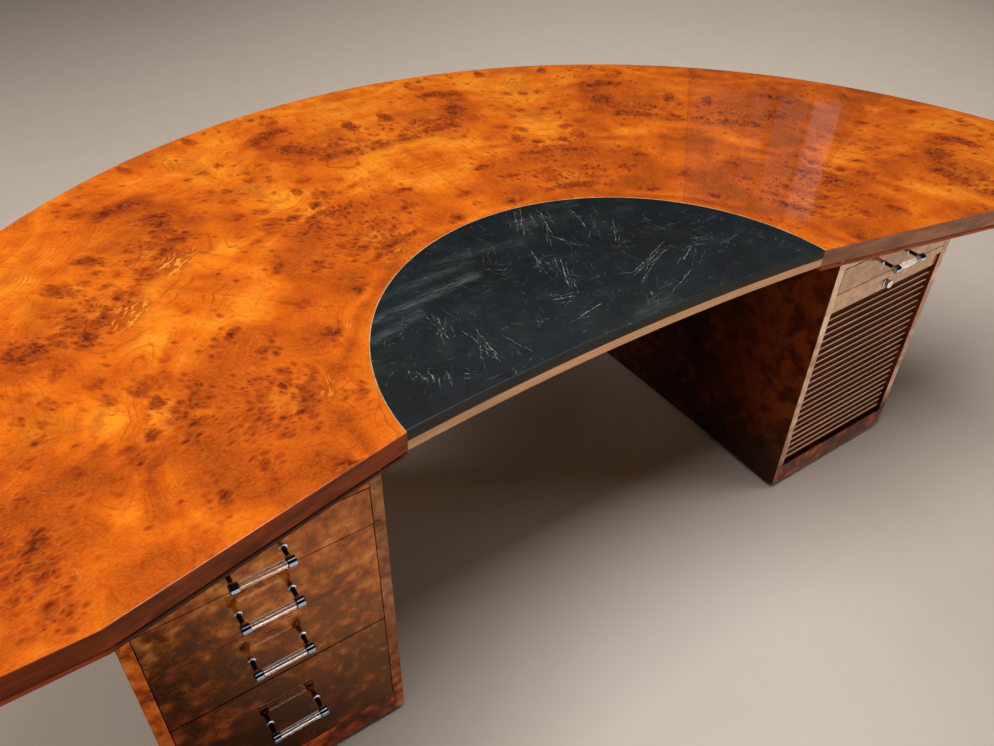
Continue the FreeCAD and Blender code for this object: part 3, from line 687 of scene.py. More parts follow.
def top_burl():
    """Golden burl under thick gloss lacquer."""
    graph = Graph("golden burl, lacquered")
    leaf = graph.attribute("leaf", "Vector")
    burl = graph.attribute("burl")
    cloud = graph.attribute("cloud")
    curls = graph.attribute("curls")
    height = graph.attribute("height")
    tone = graph.attribute("tone")
    bent = leaf.warp(30.0, 0.026, 2.0)
    wide = leaf.warp(6.0, 0.10).noise(6.0, 2.0, 0.5)
    middle = bent.stretch((1.0, 0.6, 1.0)).noise(30.0, 2.0, 0.5)
    fine = bent.stretch((1.0, 0.55, 1.0)).noise(110.0, 2.0, 0.55)
    fibre = leaf.warp(60.0, 0.008).stretch((1.0, 0.4, 1.0)).noise(420.0, 2.0, 0.6)
    middle_off = middle - 0.5
    fine_off = fine - 0.5

    # bands of tone that follow the grain, over wide soft patches
    climb = middle_off.madd(0.006, height)
    along = graph.take("ShaderNodeCombineXYZ", 0, {"X": climb, "Y": wide * 0.05})
    band = along.noise(34.0, 1.0, 0.5)
    broad = leaf.warp(6.0, 0.10).noise(3.2, 1.0, 0.5)
    level = wide * 0.70 + band * 0.55
    level = middle.madd(0.34, level)
    level = broad.madd(0.60, level)
    level = tone.madd(0.45, level)
    colour = graph.ramp(level - 0.58, [(0.28, srgb(150, 54, 7)), (0.43, srgb(198, 80, 9)),
                                       (0.57, srgb(230, 108, 14)), (0.74, srgb(250, 146, 34))])
    cloudy = middle_off.madd(1.0, cloud)
    colour = colour.tinted(cloudy.step(0.20, 0.90, 0.52), 172, 60, 10)
    smoke = leaf.warp(5.0, 0.20, 1.0).noise(5.0, 1.0, 0.5)
    colour = colour.tinted(smoke.step(0.54, 0.70, 0.46), 158, 64, 12)

    # where the dark clusters and their eyes lie
    swirl = leaf.stretch((1.0, 0.62, 1.0)).warp(24.0, 0.024, 1.0).noise(42.0, 2.0, 0.5)
    mass = (swirl - 0.5).madd(1.15, burl)
    mass = fine_off.madd(0.40, mass)
    busy = cloud.madd(0.34, burl)
    busy = (wide - 0.5).madd(0.9, busy)
    near = busy.step(0.18, 0.62)

    # growth rings: brown lines where the grain's height crosses even steps
    turn = climb * 150.0
    cycle = graph.calc("FRACT", turn)
    line = abs(cycle - 0.5).step(0.30, 0.50)
    drawn = graph.take("ShaderNodeCombineXYZ", 0, {"X": climb, "Y": 3.0}).noise(90.0, 1.0, 0.5)
    here = leaf.vector("ADD", (3.0, 0.0, 0.0)).noise(9.0, 2.0).step(0.40, 0.56)
    here = here * (1.0 - near)
    here = here * drawn.step(0.36, 0.60)
    colour = colour.tinted(cycle * here * 0.22, 184, 72, 10)
    colour = colour.tinted(line * here * 0.62, 150, 56, 8)

    # small mottling and fibres
    colour = colour.tinted(fine.step(0.46, 0.72, 0.36), 178, 66, 10)
    colour = colour.tinted(fibre.step(0.35, 0.65, 0.14), 255, 176, 62)

    # dark clusters: smooth swirled blotches with a few pale walls between them
    colour = colour.tinted(mass.step(0.20, 0.52, 0.58), 148, 50, 11)
    colour = colour.tinted(mass.step(0.44, 0.72, 0.74), 102, 33, 14)
    colour = colour.tinted(mass.step(0.70, 1.00, 0.76), 60, 21, 16)
    knotty = leaf.stretch((1.0, 0.72, 1.0)).warp(60.0, 0.010, 1.0)
    wall = knotty.cells(58.0, feature="DISTANCE_TO_EDGE").step(0.12, 0.02)
    wall = wall * near * swirl.step(0.44, 0.58)
    colour = colour.tinted(wall * 0.34, 226, 108, 32)
    spread = leaf.vector("ADD", (0.0, 5.0, 0.0)).noise(10.0, 2.0).step(0.50, 0.62, 0.8)
    far = cloud.step(0.22, 0.66).max(spread)
    for scale, reach, rarity, dark, mask in ((30.0, 0.24, 0.52, 0.80, near),
                                             (58.0, 0.27, 0.56, 0.66, far),
                                             (66.0, 0.30, 0.55, 0.74, near),
                                             (112.0, 0.30, 0.62, 0.55, near)):
        distance = knotty.cells(scale)
        pick = knotty.cells(scale, "Color").split()[0]
        chosen = pick.step(rarity, rarity + 0.12) * mask
        for outer, inner, share, tint in ((2.9, 1.9, 0.20, (242, 122, 32)),
                                          (2.1, 1.0, 0.60, (152, 52, 12)),
                                          (1.1, 0.3, dark, (82, 27, 13))):
            ring = distance.step(reach * outer, reach * inner) * chosen
            colour = colour.tinted(ring * share, *tint)
    # stray pin eyes away from the clusters
    distance = knotty.cells(22.0)
    pick = knotty.cells(22.0, "Color").split()[1]
    stray = graph.calc("GREATER_THAN", pick, 0.78) * distance.step(0.15, 0.04)
    colour = colour.tinted(stray * 0.66, 116, 40, 10)

    # bright curls in a brown bed beside the clusters
    here = curls.step(0.12, 0.6)
    colour = colour.tinted(here * 0.62, 158, 62, 12)
    dash = bent.stretch((0.24, 1.3, 1.0)).noise(125.0, 1.0, 0.5)
    curl = dash.step(0.54, 0.61) * here
    colour = colour.tinted(curl * 0.80, 250, 160, 58)

    # the seams: a hair of glue line
    seam = graph.attribute("seam").step(0.0009, 0.0003)
    colour = colour.tinted(seam * 0.35, 120, 50, 14)

    ripple = graph.place().noise(16.0, 2.0, 0.5)
    peel = graph.place().noise(320.0, 2.0, 0.5)
    shape = peel.madd(0.02, ripple)
    scuffs = graph.place().noise(46.0, 4.0, 0.7)
    rough_level = scuffs.step(0.35, 0.75, 0.42, 0.30)
    return graph.finish(colour, rough_level, graph.bump(shape, 0.25, 0.0006), coat_weight=1.0,
                        coat_roughness=0.05, coat_ior=1.5, specular_ior_level=0.05)


# ================================================================ other woods
def dimmed(colour, share):
    return tuple(part * share for part in colour[:3]) + (1.0,)


def straight_wood(name, light, dark, along, gloss=0.9, rings=46.0, shaded=False):
    """Plain straight-grained wood; along is the axis number of the grain."""
    graph = Graph(name)
    light, dark = srgb(*light), srgb(*dark)
    slow = tuple(0.06 if i == along else 1.0 for i in range(3))
    slower = tuple(0.03 if i == along else 1.0 for i in range(3))
    bands = graph.place().warp(5.0, 0.02).stretch(slow).noise(rings, 4.0, 0.6, 0.4)
    pores = graph.place().stretch(slower).noise(420.0, 2.0)
    deep = dimmed(dark, 0.45)
    colour = graph.mix(bands.step(0.30, 0.70), light, dark)
    colour = colour.mixed(pores.step(0.55, 0.75, 0.35), deep)
    wide = graph.place().noise(3.0, 2.0)
    colour = colour.mixed(wide.step(0.40, 0.75, 0.30), deep)
    if shaded:
        # painted shade: darkened where it lies under the slanting front of the left wing
        across = graph.place().split()[0]
        after_kink = across.step(-KINK_X - 0.02, -KINK_X + 0.02)
        before_pad = across.step(-INLAY_RADIUS + 0.02, -INLAY_RADIUS - 0.02)
        colour = colour.tinted(after_kink * before_pad * 0.9, 34, 12, 6)
    return graph.finish(colour, bands.step(0.3, 0.7, 0.42, 0.32), graph.bump(pores, 0.12, 0.0003),
                        coat_weight=gloss, coat_roughness=0.05, specular_ior_level=0.1)


def burl_colour(graph, palette, patch, seed):
    """Blotched dark burl: soft patches, round cells with pale walls, dark knots and eyes."""
    place = graph.place().vector("ADD", (seed, seed * 0.7, seed * 1.3))
    bent = place.warp(9.0, 0.04, 2.0)
    wide = bent.noise(patch * 0.7, 2.0, 0.5)
    middle = bent.warp(30.0, 0.008).noise(patch * 2.6, 3.0, 0.55)
    fine = bent.noise(150.0, 3.0, 0.6)
    knotty = place.warp(40.0, 0.014, 1.0)
    blob = knotty.cells(patch * 3.4)
    level = wide.madd(0.66, middle * 0.44)
    level = blob.madd(-0.26, level)
    dark, mid, light, bright = palette
    colour = graph.ramp(level, [(0.30, dark), (0.39, mid), (0.48, light), (0.60, bright)])
    knots = place.warp(16.0, 0.05).noise(patch * 1.7, 2.0).step(0.60, 0.72)
    colour = colour.mixed(knots * 0.62, dark)
    colour = colour.mixed(fine.step(0.46, 0.72, 0.40), dark)
    lacy = place.noise(patch * 1.1, 2.0).step(0.46, 0.58)
    wall = knotty.cells(84.0, feature="DISTANCE_TO_EDGE").step(0.12, 0.02) * lacy
    colour = colour.mixed(wall * fine.step(0.38, 0.58, 0.30), bright)
    pick = knotty.cells(62.0, "Color").split()[0]
    eye = knotty.cells(62.0).step(0.30, 0.08) * pick.step(0.60, 0.70)
    colour = colour.mixed(eye * 0.60, dark)
    return colour, middle


def lacquered(graph, colour, middle, sheen, ior=1.55):
    """Mirror-like lacquer, a little uneven; sheen tints what it mirrors."""
    normal = graph.bump(graph.place().noise(13.0, 2.0), 0.25, 0.0008)
    return graph.finish(colour, middle.step(0.3, 0.7, 0.06, 0.03), normal, ior=ior,
                        specular_tint=sheen)


WARM_SHEEN = (1.0, 0.42, 0.16, 1.0)
PALE_SHEEN = (1.0, 0.70, 0.50, 1.0)
FRONT_IOR = 2.6              # the thick lacquer of the fronts mirrors the handles strongly


def drawer_burl(name, palette, low_palette, seed, patch=12.0, sheen=WARM_SHEEN):
    """Front veneer that darkens and reddens towards the floor and the left, partly its own figure and
    partly painted shade where it mirrors the shaded floor.
    """
    graph = Graph(name)
    upper, middle = burl_colour(graph, palette, patch, seed)
    lower, _ = burl_colour(graph, low_palette, patch * 0.7, seed + 3.0)
    parts = graph.place().split()
    fall = parts[0].madd(0.55, parts[2])
    fall = (middle - 0.5).madd(0.7, fall)
    # painted shade, partly: darker and redder low down and to the left
    colour = upper.mixed(fall.step(0.20, -0.16), lower)
    return lacquered(graph, colour, middle, sheen, FRONT_IOR)


def case_burl(name, stile_top, stile_low, seed, turn=(0.42, 0.12)):
    """Case veneer: dark on the flat sides and paler on the edges towards the user; the difference is
    partly painted light.
    """
    graph = Graph(name)
    side, middle = burl_colour(graph, SIDE_BURL, 7.0, seed)
    top, _ = burl_colour(graph, stile_top, 10.0, seed + 1.0)
    low, _ = burl_colour(graph, stile_low, 10.0, seed + 2.0)
    parts = graph.place().split()
    # painted reflection, partly the veneer's own colour: the edges are paler up high and redder low
    # down, where they mirror the shaded floor near the foot
    height = (middle - 0.5).madd(turn[0] - turn[1], parts[2])
    stile = top.mixed(height.step(turn[0], turn[1]), low)
    # painted light: the sides are warmer and lighter near their front edge
    depth = (middle - 0.5).madd(0.5, parts[1])
    glow = depth.step(-0.30, -0.56) * parts[2].step(0.05, 0.30)
    glow = glow * middle.step(0.38, 0.60, 0.90, 0.25)
    side = side.tinted(glow, 146, 64, 24)
    # partly painted light: faces towards the user take the paler edge colours, the flat sides stay dark
    # as if shaded
    facing = graph.take("ShaderNodeNewGeometry", "Normal").split()[1]
    colour = side.mixed(facing.step(-0.6, -0.9), stile)
    return lacquered(graph, colour, middle, WARM_SHEEN)


def bare_wood(name, light, dark, rough=0.55):
    """Unlacquered boards inside the desk."""
    graph = Graph(name)
    light, dark = srgb(*light), srgb(*dark)
    run = graph.place().warp(4.0, 0.03).stretch((1.0, 0.07, 1.0))
    bands = run.noise(60.0, 4.0, 0.6, 0.5)
    pores = graph.place().stretch((1.0, 0.04, 1.0)).noise(600.0, 2.0)
    colour = graph.mix(bands.step(0.3, 0.7), light, dark)
    colour = colour.mixed(pores.step(0.55, 0.8, 0.4), dimmed(dark, 0.6))
    return graph.finish(colour, bands.step(0.3, 0.7, rough + 0.08, rough - 0.06),
                        graph.bump(pores, 0.25, 0.0003))


def four(*colours):
    return tuple(srgb(*colour) for colour in colours)


RAIL_BURL = four((34, 10, 4), (72, 22, 7), (116, 42, 12), (164, 72, 24))
LEAD_BURL = four((136, 90, 58), (168, 118, 80), (188, 140, 100), (208, 162, 122))
SIDE_BURL = four((18, 6, 3), (32, 11, 5), (52, 19, 8), (88, 36, 14))
RED_BURL = four((44, 13, 6), (92, 31, 10), (144, 54, 16), (192, 94, 34))
TAN_BURL = four((172, 122, 88), (206, 158, 120), (224, 182, 144), (240, 204, 170))
FAWN_BURL = four((100, 54, 32), (138, 86, 56), (162, 108, 72), (188, 134, 94))
BROWN_BURL = four((80, 28, 6), (145, 62, 14), (184, 95, 32), (216, 136, 64))
SHADED_SMOKY_BURL = four((10, 3, 1), (28, 9, 3), (80, 26, 6), (152, 66, 17))
ORANGE_BURL = four((136, 54, 16), (206, 94, 26), (234, 122, 42), (246, 152, 70))
INNER_LOW_BURL = four((66, 22, 8), (126, 52, 19), (170, 82, 33), (204, 122, 60))
INNER_BURL = four((96, 46, 18), (138, 78, 38), (162, 102, 58), (184, 128, 82))


def numbered(pattern, numbers=range(1, 6)):
    return [pattern % number for number in numbers]


CASE_EDGE = 0.0010           # how far the edges of each kind of piece are rounded
FRONT_EDGE = 0.0008
BOARD_EDGE = 0.0006
METAL_EDGE = 0.0005


def dress_woods():
    dress(["left_side_outer", "left_bottom_rail", "left_back_panel", "left_top_board"],
          case_burl("left case burl, outer", ORANGE_BURL, RED_BURL, 0.0), CASE_EDGE)
    dress(["left_side_inner"],
          case_burl("left case burl, inner", INNER_BURL, INNER_LOW_BURL, 5.0), CASE_EDGE)
    # painted reflection: the right pedestal's edges take the pale tan palette, for the pale floor they
    # mirror
    dress(["right_side_inner", "right_side_outer", "right_back_panel", "right_top_board"],
          case_burl("right case burl", TAN_BURL, RED_BURL, 9.0, (0.19, 0.07)), CASE_EDGE)
    dress(["right_bottom_rail"], case_burl("right rail burl", RAIL_BURL, RAIL_BURL, 11.0), CASE_EDGE)
    for names, material in (
            # painted reflection: the divider, lead rail and right drawer front take paler palettes than
            # the left drawers, for the pale floor they mirror
            (["cabinet_divider", "shutter_lead_rail"],
             drawer_burl("lead rail burl", LEAD_BURL, LEAD_BURL, 14.0, sheen=PALE_SHEEN)),
            (numbered("drawer_%d_front", range(1, 5)),
             drawer_burl("left drawer burl", BROWN_BURL, SHADED_SMOKY_BURL, 2.0, 12.5)),
            (["drawer_5_front"],
             drawer_burl("right drawer burl", FAWN_BURL, FAWN_BURL, 7.0, sheen=PALE_SHEEN))):
        dress(names, material, FRONT_EDGE)
    for piece, name, light, dark, along, gloss in (
            ("left_wing_lipping", "left lipping", (138, 56, 12), (84, 31, 6), 0, 0.05),
            # painted reflection: the right lipping is paler than the left, for the pale floor it
            # mirrors
            ("right_wing_lipping", "right lipping", (162, 100, 62), (112, 60, 32), 0, 0.3),
            ("arc_edge_band", "arc edge veneer", (150, 72, 26), (104, 44, 16), 2, 0.9),
            ("inlay_stringing", "pale stringing", (206, 184, 146), (176, 146, 104), 0, 0.6)):
        dress([piece], straight_wood(name, light, dark, along, gloss))
    dress(["bead_moulding"],
          straight_wood("red bead wood", (216, 104, 50), (176, 70, 30), 0, 0.2, 90.0, shaded=True))
    dress(["knee_strip"],
          straight_wood("pale strip wood", (220, 162, 112), (198, 138, 88), 0, 0.3), BOARD_EDGE)
    dress(["top_core"], bare_wood("blockboard", (198, 168, 126), (172, 138, 96)))
    for names, name, light, dark, rough, edge in (
            (["left_floor_board", "cabinet_floor", "right_base_board", "drawer_runners"],
             "inside boards", (172, 124, 80), (132, 88, 52), 0.45, BOARD_EDGE),
            (numbered("drawer_%d_box") + numbered("drawer_%d_bottom"),
             "drawer box boards", (214, 170, 116), (184, 134, 84), 0.4, BOARD_EDGE),
            (["left_plinth", "right_plinth"],
             "black plinth", (30, 24, 22), (18, 14, 13), 0.5, CASE_EDGE)):
        dress(names, bare_wood(name, light, dark, rough), edge)


# ================================================================ leather
# Scratches as they lie in the photograph's frame of 994 by 746 pixels: x and y of the start
# and of the end, half width in tenths of a millimetre and strength in hundredths.
SCRATCHES = [
    (514, 212, 519, 232, 16, 90), (520, 208, 524, 236, 14, 80), (529, 214, 538, 226, 14, 70),
    (540, 212, 551, 232, 16, 90), (546, 222, 551, 246, 13, 80), (531, 251, 543, 270, 18, 100),
    (535, 262, 549, 275, 12, 80), (546, 234, 587, 248, 10, 80), (560, 257, 569, 287, 14, 100),
    (554, 258, 562, 276, 12, 90), (566, 262, 570, 282, 10, 80), (570, 208, 587, 228, 12, 80),
    (613, 220, 616, 243, 12, 90), (665, 240, 633, 273, 12, 90), (659, 250, 634, 276, 12, 90),
    (668, 248, 650, 264, 10, 70), (692, 246, 683, 260, 14, 90), (688, 246, 706, 243, 26, 80),
    (737, 234, 722, 243, 14, 80), (692, 269, 671, 293, 14, 80), (553, 300, 578, 295, 24, 80),
    (560, 303, 574, 301, 12, 80), (603, 302, 570, 323, 13, 100), (651, 291, 654, 301, 18, 80),
    (437, 317, 448, 339, 14, 100), (424, 315, 444, 334, 10, 70), (446, 318, 442, 338, 10, 70),
    (476, 328, 501, 363, 12, 90), (461, 330, 495, 354, 10, 80), (486, 342, 498, 355, 14, 80),
    (500, 335, 535, 352, 9, 80), (408, 371, 414, 381, 12, 90), (412, 381, 421, 373, 10, 90),
    (416, 372, 428, 382, 10, 90), (422, 382, 432, 374, 10, 90), (428, 371, 435, 381, 14, 100),
    (449, 373, 452, 387, 14, 90), (464, 374, 477, 371, 14, 90), (483, 256, 485, 269, 10, 80),
    (485, 269, 505, 270, 10, 80), (534, 322, 550, 318, 12, 70), (536, 315, 540, 326, 10, 70),
    (700, 262, 704, 252, 12, 60), (628, 322, 631, 324, 22, 100), (774, 237, 776, 240, 16, 90),
    (735, 244, 738, 246, 14, 80), (590, 214, 600, 236, 9, 60), (640, 214, 652, 222, 10, 60),
]
COMPANIONS = 3               # fainter scratches beside each of these
# Broad rubbed streaks, in the same way.
RUBS = [
    (372, 322, 474, 276, 85, 55), (396, 292, 470, 262, 80, 30), (374, 342, 420, 313, 75, 45),
    (378, 300, 430, 276, 60, 22), (440, 262, 520, 240, 100, 18), (640, 312, 668, 300, 140, 25),
    (520, 225, 560, 218, 120, 22),
]


def strokes(rows):
    """Start and end as points, the half width in metres and the strength as a share."""
    return [((x0, y0), (x1, y1), width / 10000.0, strength / 100.0)
            for x0, y0, x1, y1, width, strength in rows]


def with_companions(scratches):
    """Each scratch with a few shorter and fainter ones beside it."""
    chance = random.Random(11)
    result = list(scratches)
    for start, end, width, strength in scratches:
        run = Vector((end[0] - start[0], end[1] - start[1]))
        for _ in range(COMPANIONS):
            short = run * chance.uniform(0.3, 0.8)
            short.rotate(Matrix.Rotation(chance.uniform(-0.6, 0.6), 2))
            first = Vector(start) + run * chance.uniform(0.0, 0.6)
            first += Vector((chance.uniform(-8.0, 8.0), chance.uniform(-6.0, 6.0)))
            result.append((tuple(first), tuple(first + short), width * chance.uniform(0.4, 0.8),
                           strength * chance.uniform(0.5, 0.9)))
    return result


def on_top(pixel):
    """Point of the top's plane behind a pixel of the photograph's frame."""
    right, up, forward = camera_axes()
    across, down = pixel[0] - FRAME_MIDDLE[0], pixel[1] - FRAME_MIDDLE[1]
    ray = forward * CAMERA_FOCUS + right * across - up * down
    return CAMERA_PLACE + ray * ((TOP_Z - CAMERA_PLACE.z) / ray.z)


def stroke_fields(mesh, scratches):
    """Distance across and share along the nearest and second nearest stroke of each face."""
    starts = np.array([on_top(stroke[0])[:2] for stroke in scratches])
    runs = np.array([on_top(stroke[1])[:2] for stroke in scratches]) - starts
    widths = np.array([stroke[2] * stroke[3] for stroke in scratches])
    lengths = np.linalg.norm(runs, axis=1)
    centre = centres(mesh)[:, None, :2]
    share = np.clip(np.sum((centre - starts) * runs, axis=2) / lengths ** 2, 0.0, 1.0)
    away = np.linalg.norm(centre - starts - share[:, :, None] * runs, axis=2)
    order = np.argsort(away, axis=1)
    corner, sides = corners(mesh)
    place = places(mesh)[corner, :2]
    for rank, name in enumerate(("scratch_a", "scratch_b")):
        mine = np.repeat(order[:, rank], sides)
        offset = place - starts[mine]
        unit = runs[mine] / lengths[mine][:, None]
        across = offset[:, 0] * unit[:, 1] - offset[:, 1] * unit[:, 0]
        along = np.sum(offset * unit, axis=1) / lengths[mine]
        add_layer(mesh, name, np.stack([across, along, widths[mine]], 1), "CORNER")


def rub_field(mesh):
    """Soft bands round the broad rubbed streaks."""
    place = places(mesh)[:, :2]
    total = np.zeros(len(place))
    for first, last, width, strength in strokes(RUBS):
        start = np.array(on_top(first)[:2])
        run = np.array(on_top(last)[:2]) - start
        share = np.clip((place - start) @ run / (run @ run), 0.0, 1.0)
        away = np.linalg.norm(place - start - share[:, None] * run, axis=1)
        total = np.maximum(total, strength * np.exp(-0.5 * (away / width) ** 2))
    add_layer(mesh, "rub", total)


def stroke_mark(graph, name, wobble):
    """Thin tapered line of one stroke attribute."""
    parts = graph.attribute(name, "Vector").split()
    across = abs(parts[0] + wobble)
    line = across.step(parts[2], parts[2] * 0.3)
    ends = parts[1].step(-0.04, 0.12) * parts[1].step(1.04, 0.85)
    return line * ends


def hair_scratches(graph, place, scale, rarity, half_width):
    """Scattered fine scratches, each a short straight line through a Voronoi point."""
    spot = place.cells(scale, "Position")
    luck = place.cells(scale, "Color").split()
    away = place.vector("SUBTRACT", spot).split()
    turn = luck[0] * math.pi
    cos, sin = graph.calc("COSINE", turn), graph.calc("SINE", turn)
    off = away[0] * cos + away[1] * sin
    run = away[1] * cos - away[0] * sin
    line = abs(off).step(half_width, half_width * 0.2)
    ends = abs(run).step(0.42 / scale, 0.15 / scale)
    return line * ends * luck[1].step(rarity, rarity + 0.1)


def leather_skin():
    graph = Graph("worn blue-black leather")
    place = graph.place()
    pebble = place.warp(300.0, 0.002).cells(560.0, feature="DISTANCE_TO_EDGE")
    wide = place.noise(5.0, 4.0, 0.6)
    tint = place.vector("ADD", (3.0, 1.0, 0.0)).noise(4.0, 3.0, 0.6)
    patchy = place.noise(22.0, 4.0, 0.65)
    colour = graph.mix(wide.step(0.35, 0.65), srgb(9, 15, 17), srgb(17, 26, 29))
    colour = colour.tinted(tint.step(0.45, 0.65, 0.6), 12, 21, 31)
    colour = colour.tinted(patchy.step(0.50, 0.72, 0.50), 28, 37, 38)
    wobble = place.warp(40.0, 0.008).warp(150.0, 0.004)
    broken = place.noise(190.0, 3.0, 0.7).step(0.40, 0.60)
    shake = (place.noise(70.0, 3.0, 0.6) - 0.5) * 0.010
    grazes = stroke_mark(graph, "scratch_a", shake).max(stroke_mark(graph, "scratch_b", shake))
    grazes = grazes * broken
    streak = place.warp(12.0, 0.02).stretch((0.10, 1.0, 1.0), (0.0, 0.0, -0.10))
    streak = streak.noise(210.0, 3.0, 0.7)
    rubs = graph.attribute("rub") * streak.step(0.36, 0.66)
    hairs = hair_scratches(graph, wobble, 14.0, 0.45, 0.0012)
    for shift, scale, rarity, half_width in (((0.31, 0.17, 0.0), 27.0, 0.62, 0.0009),
                                             ((0.11, 0.47, 0.0), 44.0, 0.60, 0.0008)):
        moved = wobble.vector("ADD", shift)
        hairs = hairs.max(hair_scratches(graph, moved, scale, rarity, half_width))
    hairs = hairs * broken * patchy.step(0.36, 0.60, 0.85, 0.15)
    colour = colour.tinted(rubs * 0.90, 104, 114, 110)
    colour = colour.tinted(hairs * 0.80, 112, 124, 122)
    faint = place.noise(34.0, 3.0, 0.6).step(0.34, 0.62, 0.95, 0.25)
    colour = colour.tinted(grazes * faint, 150, 158, 150)
    # the nose is worn through to a brownish olive
    drop = place.split()[2].step(TOP_Z - 0.0005, TOP_Z - 0.004)
    wear_and_highlight = place.stretch((0.2, 1.0, 1.0)).noise(60.0, 3.0).step(0.35, 0.6, 0.95, 0.55)
    colour = colour.tinted(drop * wear_and_highlight, 48, 43, 31)
    height = grazes.madd(-1.5, pebble.step(0.0, 0.25))
    normal = graph.bump(height, 0.30, 0.0003, graph.bump(place.noise(26.0, 3.0), 0.35, 0.0012))
    rough = patchy.step(0.4, 0.7, 0.52, 0.40).max(drop * 0.85)
    return graph.finish(colour, rough, normal, specular_ior_level=0.32)


PAD_COLUMNS = 181
PAD_ROWS = 90
NOSE_STEPS = 6


def pad_column(x):
    """One closed loop of points: up the knee edge, over the top, down the back."""
    front = KNEE_CENTRE_Y + math.sqrt(KNEE_RADIUS ** 2 - x * x)
    back = CORNER_Y + math.sqrt(max(INLAY_RADIUS ** 2 - x * x, 0.0))
    reach = min(NOSE_RADIUS, (back - front) * 0.9)
    under_nose = TOP_Z - NOSE_RADIUS
    loop = [(x, front, pad_low.z), (x, front, (pad_low.z + TOP_Z - NOSE_RADIUS) / 2.0)]
    for k in range(NOSE_STEPS + 1):
        bend = math.pi / 2 * k / NOSE_STEPS
        y = front + reach * (1.0 - math.cos(bend))
        loop.append((x, y, under_nose + NOSE_RADIUS * math.sin(bend)))
    # the back goes down in the nose's own steps, so that both ends of the pad close to a line
    levels = [point[2] for point in loop[-2::-1]]
    start = front + reach
    loop += [(x, start + (back - start) * k / PAD_ROWS, TOP_Z) for k in range(1, PAD_ROWS + 1)]
    return loop + [(x, back, level) for level in levels]


def leather_top():
    """The pad as a fine grid from the knee edge to the arc, turned down over the edge."""
    points, faces = [], []
    for i in range(PAD_COLUMNS):
        loop = pad_column(-INLAY_RADIUS * math.cos(math.pi * i / (PAD_COLUMNS - 1)))
        points += loop
    size = len(loop)
    shown = 2 + NOSE_STEPS + PAD_ROWS         # faces of a strip before the back and the bottom
    for i in range(PAD_COLUMNS - 1):
        for k in range(size):
            a, b = i * size + k, i * size + (k + 1) % size
            faces.append((a, a + size, b + size, b))
    mesh = mesh_from("leather sheet", points, faces)
    stroke_fields(mesh, with_companions(strokes(SCRATCHES)))
    rub_field(mesh)
    piece = new_piece("leather_sheet", "desk", mesh, leather_skin())
    for number, face in enumerate(mesh.polygons):
        face.use_smooth = number % size < shown
    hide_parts("leather_pad")


# ================================================================ shutter
SLAT_CREST = math.radians(36.0)      # above level, where each slat gets a painted pale highlight
CREST_SPREAD = 0.125
SLATS = 23
SLAT_GAP = 0.0008
SLAT_SPARE = 0.0002          # the row stands this far past the solid's ends
SLAT_BACK = 0.0025           # thickness of each slat behind its rounding
SLAT_INSET = 0.007           # the part of each end that runs in the grooves
SLAT_STEPS = 20
CLOTH_COLUMNS, CLOTH_ROWS = 24, 90
CLOTH_RIPPLE = 0.0002
CLOTH_BEHIND = 0.0004        # gap between the slats and the middle of the cloth
CLOTH_SHORT = 0.002          # the cloth ends this far inside the row of slats


def slat_finish():
    """Dark lacquered slats with a painted pale highlight along their crests."""
    graph = Graph("dark slat wood")
    run = graph.place().stretch((0.05, 1.0, 1.0))
    bands = run.noise(120.0, 3.0)
    colour = graph.mix(bands.step(0.3, 0.7), srgb(80, 28, 6), srgb(50, 16, 3))
    # painted highlight: a pale line along each slat's crest
    wear_and_highlight = graph.attribute("crest") * bands.step(0.2, 0.6, 0.7, 1.0)
    colour = colour.tinted(wear_and_highlight * 0.95, 248, 206, 166)
    return graph.finish(colour, bands.step(0.3, 0.7, 0.40, 0.30), graph.bump(bands, 0.1, 0.0003),
                        ior=1.06)


def shutter_slats():
    """Half-round slats in a row, in place of the CAD slats, with the cloth behind them."""
    low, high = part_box("shutter_slats")
    pitch = (high.z - low.z + 2.0 * SLAT_SPARE) / SLATS
    bulge = high.y - low.y - SLAT_BACK
    bm = bmesh.new()
    crest = bm.verts.layers.float.new("crest")
    for i in range(SLATS):
        z0 = low.z - SLAT_SPARE + i * pitch + SLAT_GAP / 2.0
        z1 = z0 + pitch - SLAT_GAP
        half, middle = (z1 - z0) / 2.0, (z0 + z1) / 2.0
        outline = [(high.y, z1, 0.0), (high.y, z0, 0.0)]
        for k in range(SLAT_STEPS + 1):
            angle = -math.pi / 2 + math.pi * k / SLAT_STEPS
            y = high.y - SLAT_BACK - bulge * math.cos(angle)
            wear_and_highlight = math.exp(-0.5 * ((angle - SLAT_CREST) / CREST_SPREAD) ** 2)
            outline.append((y, middle + half * math.sin(angle), wear_and_highlight))
        ends = []
        for x in (low.x + SLAT_INSET, high.x - SLAT_INSET):
            ends.append([bm.verts.new((x, y, z)) for y, z, _ in outline])
            for vert, (_, _, wear_and_highlight) in zip(ends[-1], outline):
                vert[crest] = wear_and_highlight
        first, second = ends
        for k in range(len(outline)):
            after = (k + 1) % len(outline)
            bm.faces.new((first[k], first[after], second[after], second[k]))
        bm.faces.new(first[::-1])
        bm.faces.new(second)
    bars = new_piece("shutter_slat_bars", "desk", mesh_of(bm, "slats"), slat_finish(),
                     sharp=40.0)
    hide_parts("shutter_slats")
    cloth_low, cloth_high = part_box("shutter_canvas")
    canvas = canvas_sheet(cloth_low.x, cloth_high.x, high.y + CLOTH_BEHIND, low.z + CLOTH_SHORT,
                          high.z - CLOTH_SHORT)
    for piece in (bars, canvas):
        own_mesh(piece)


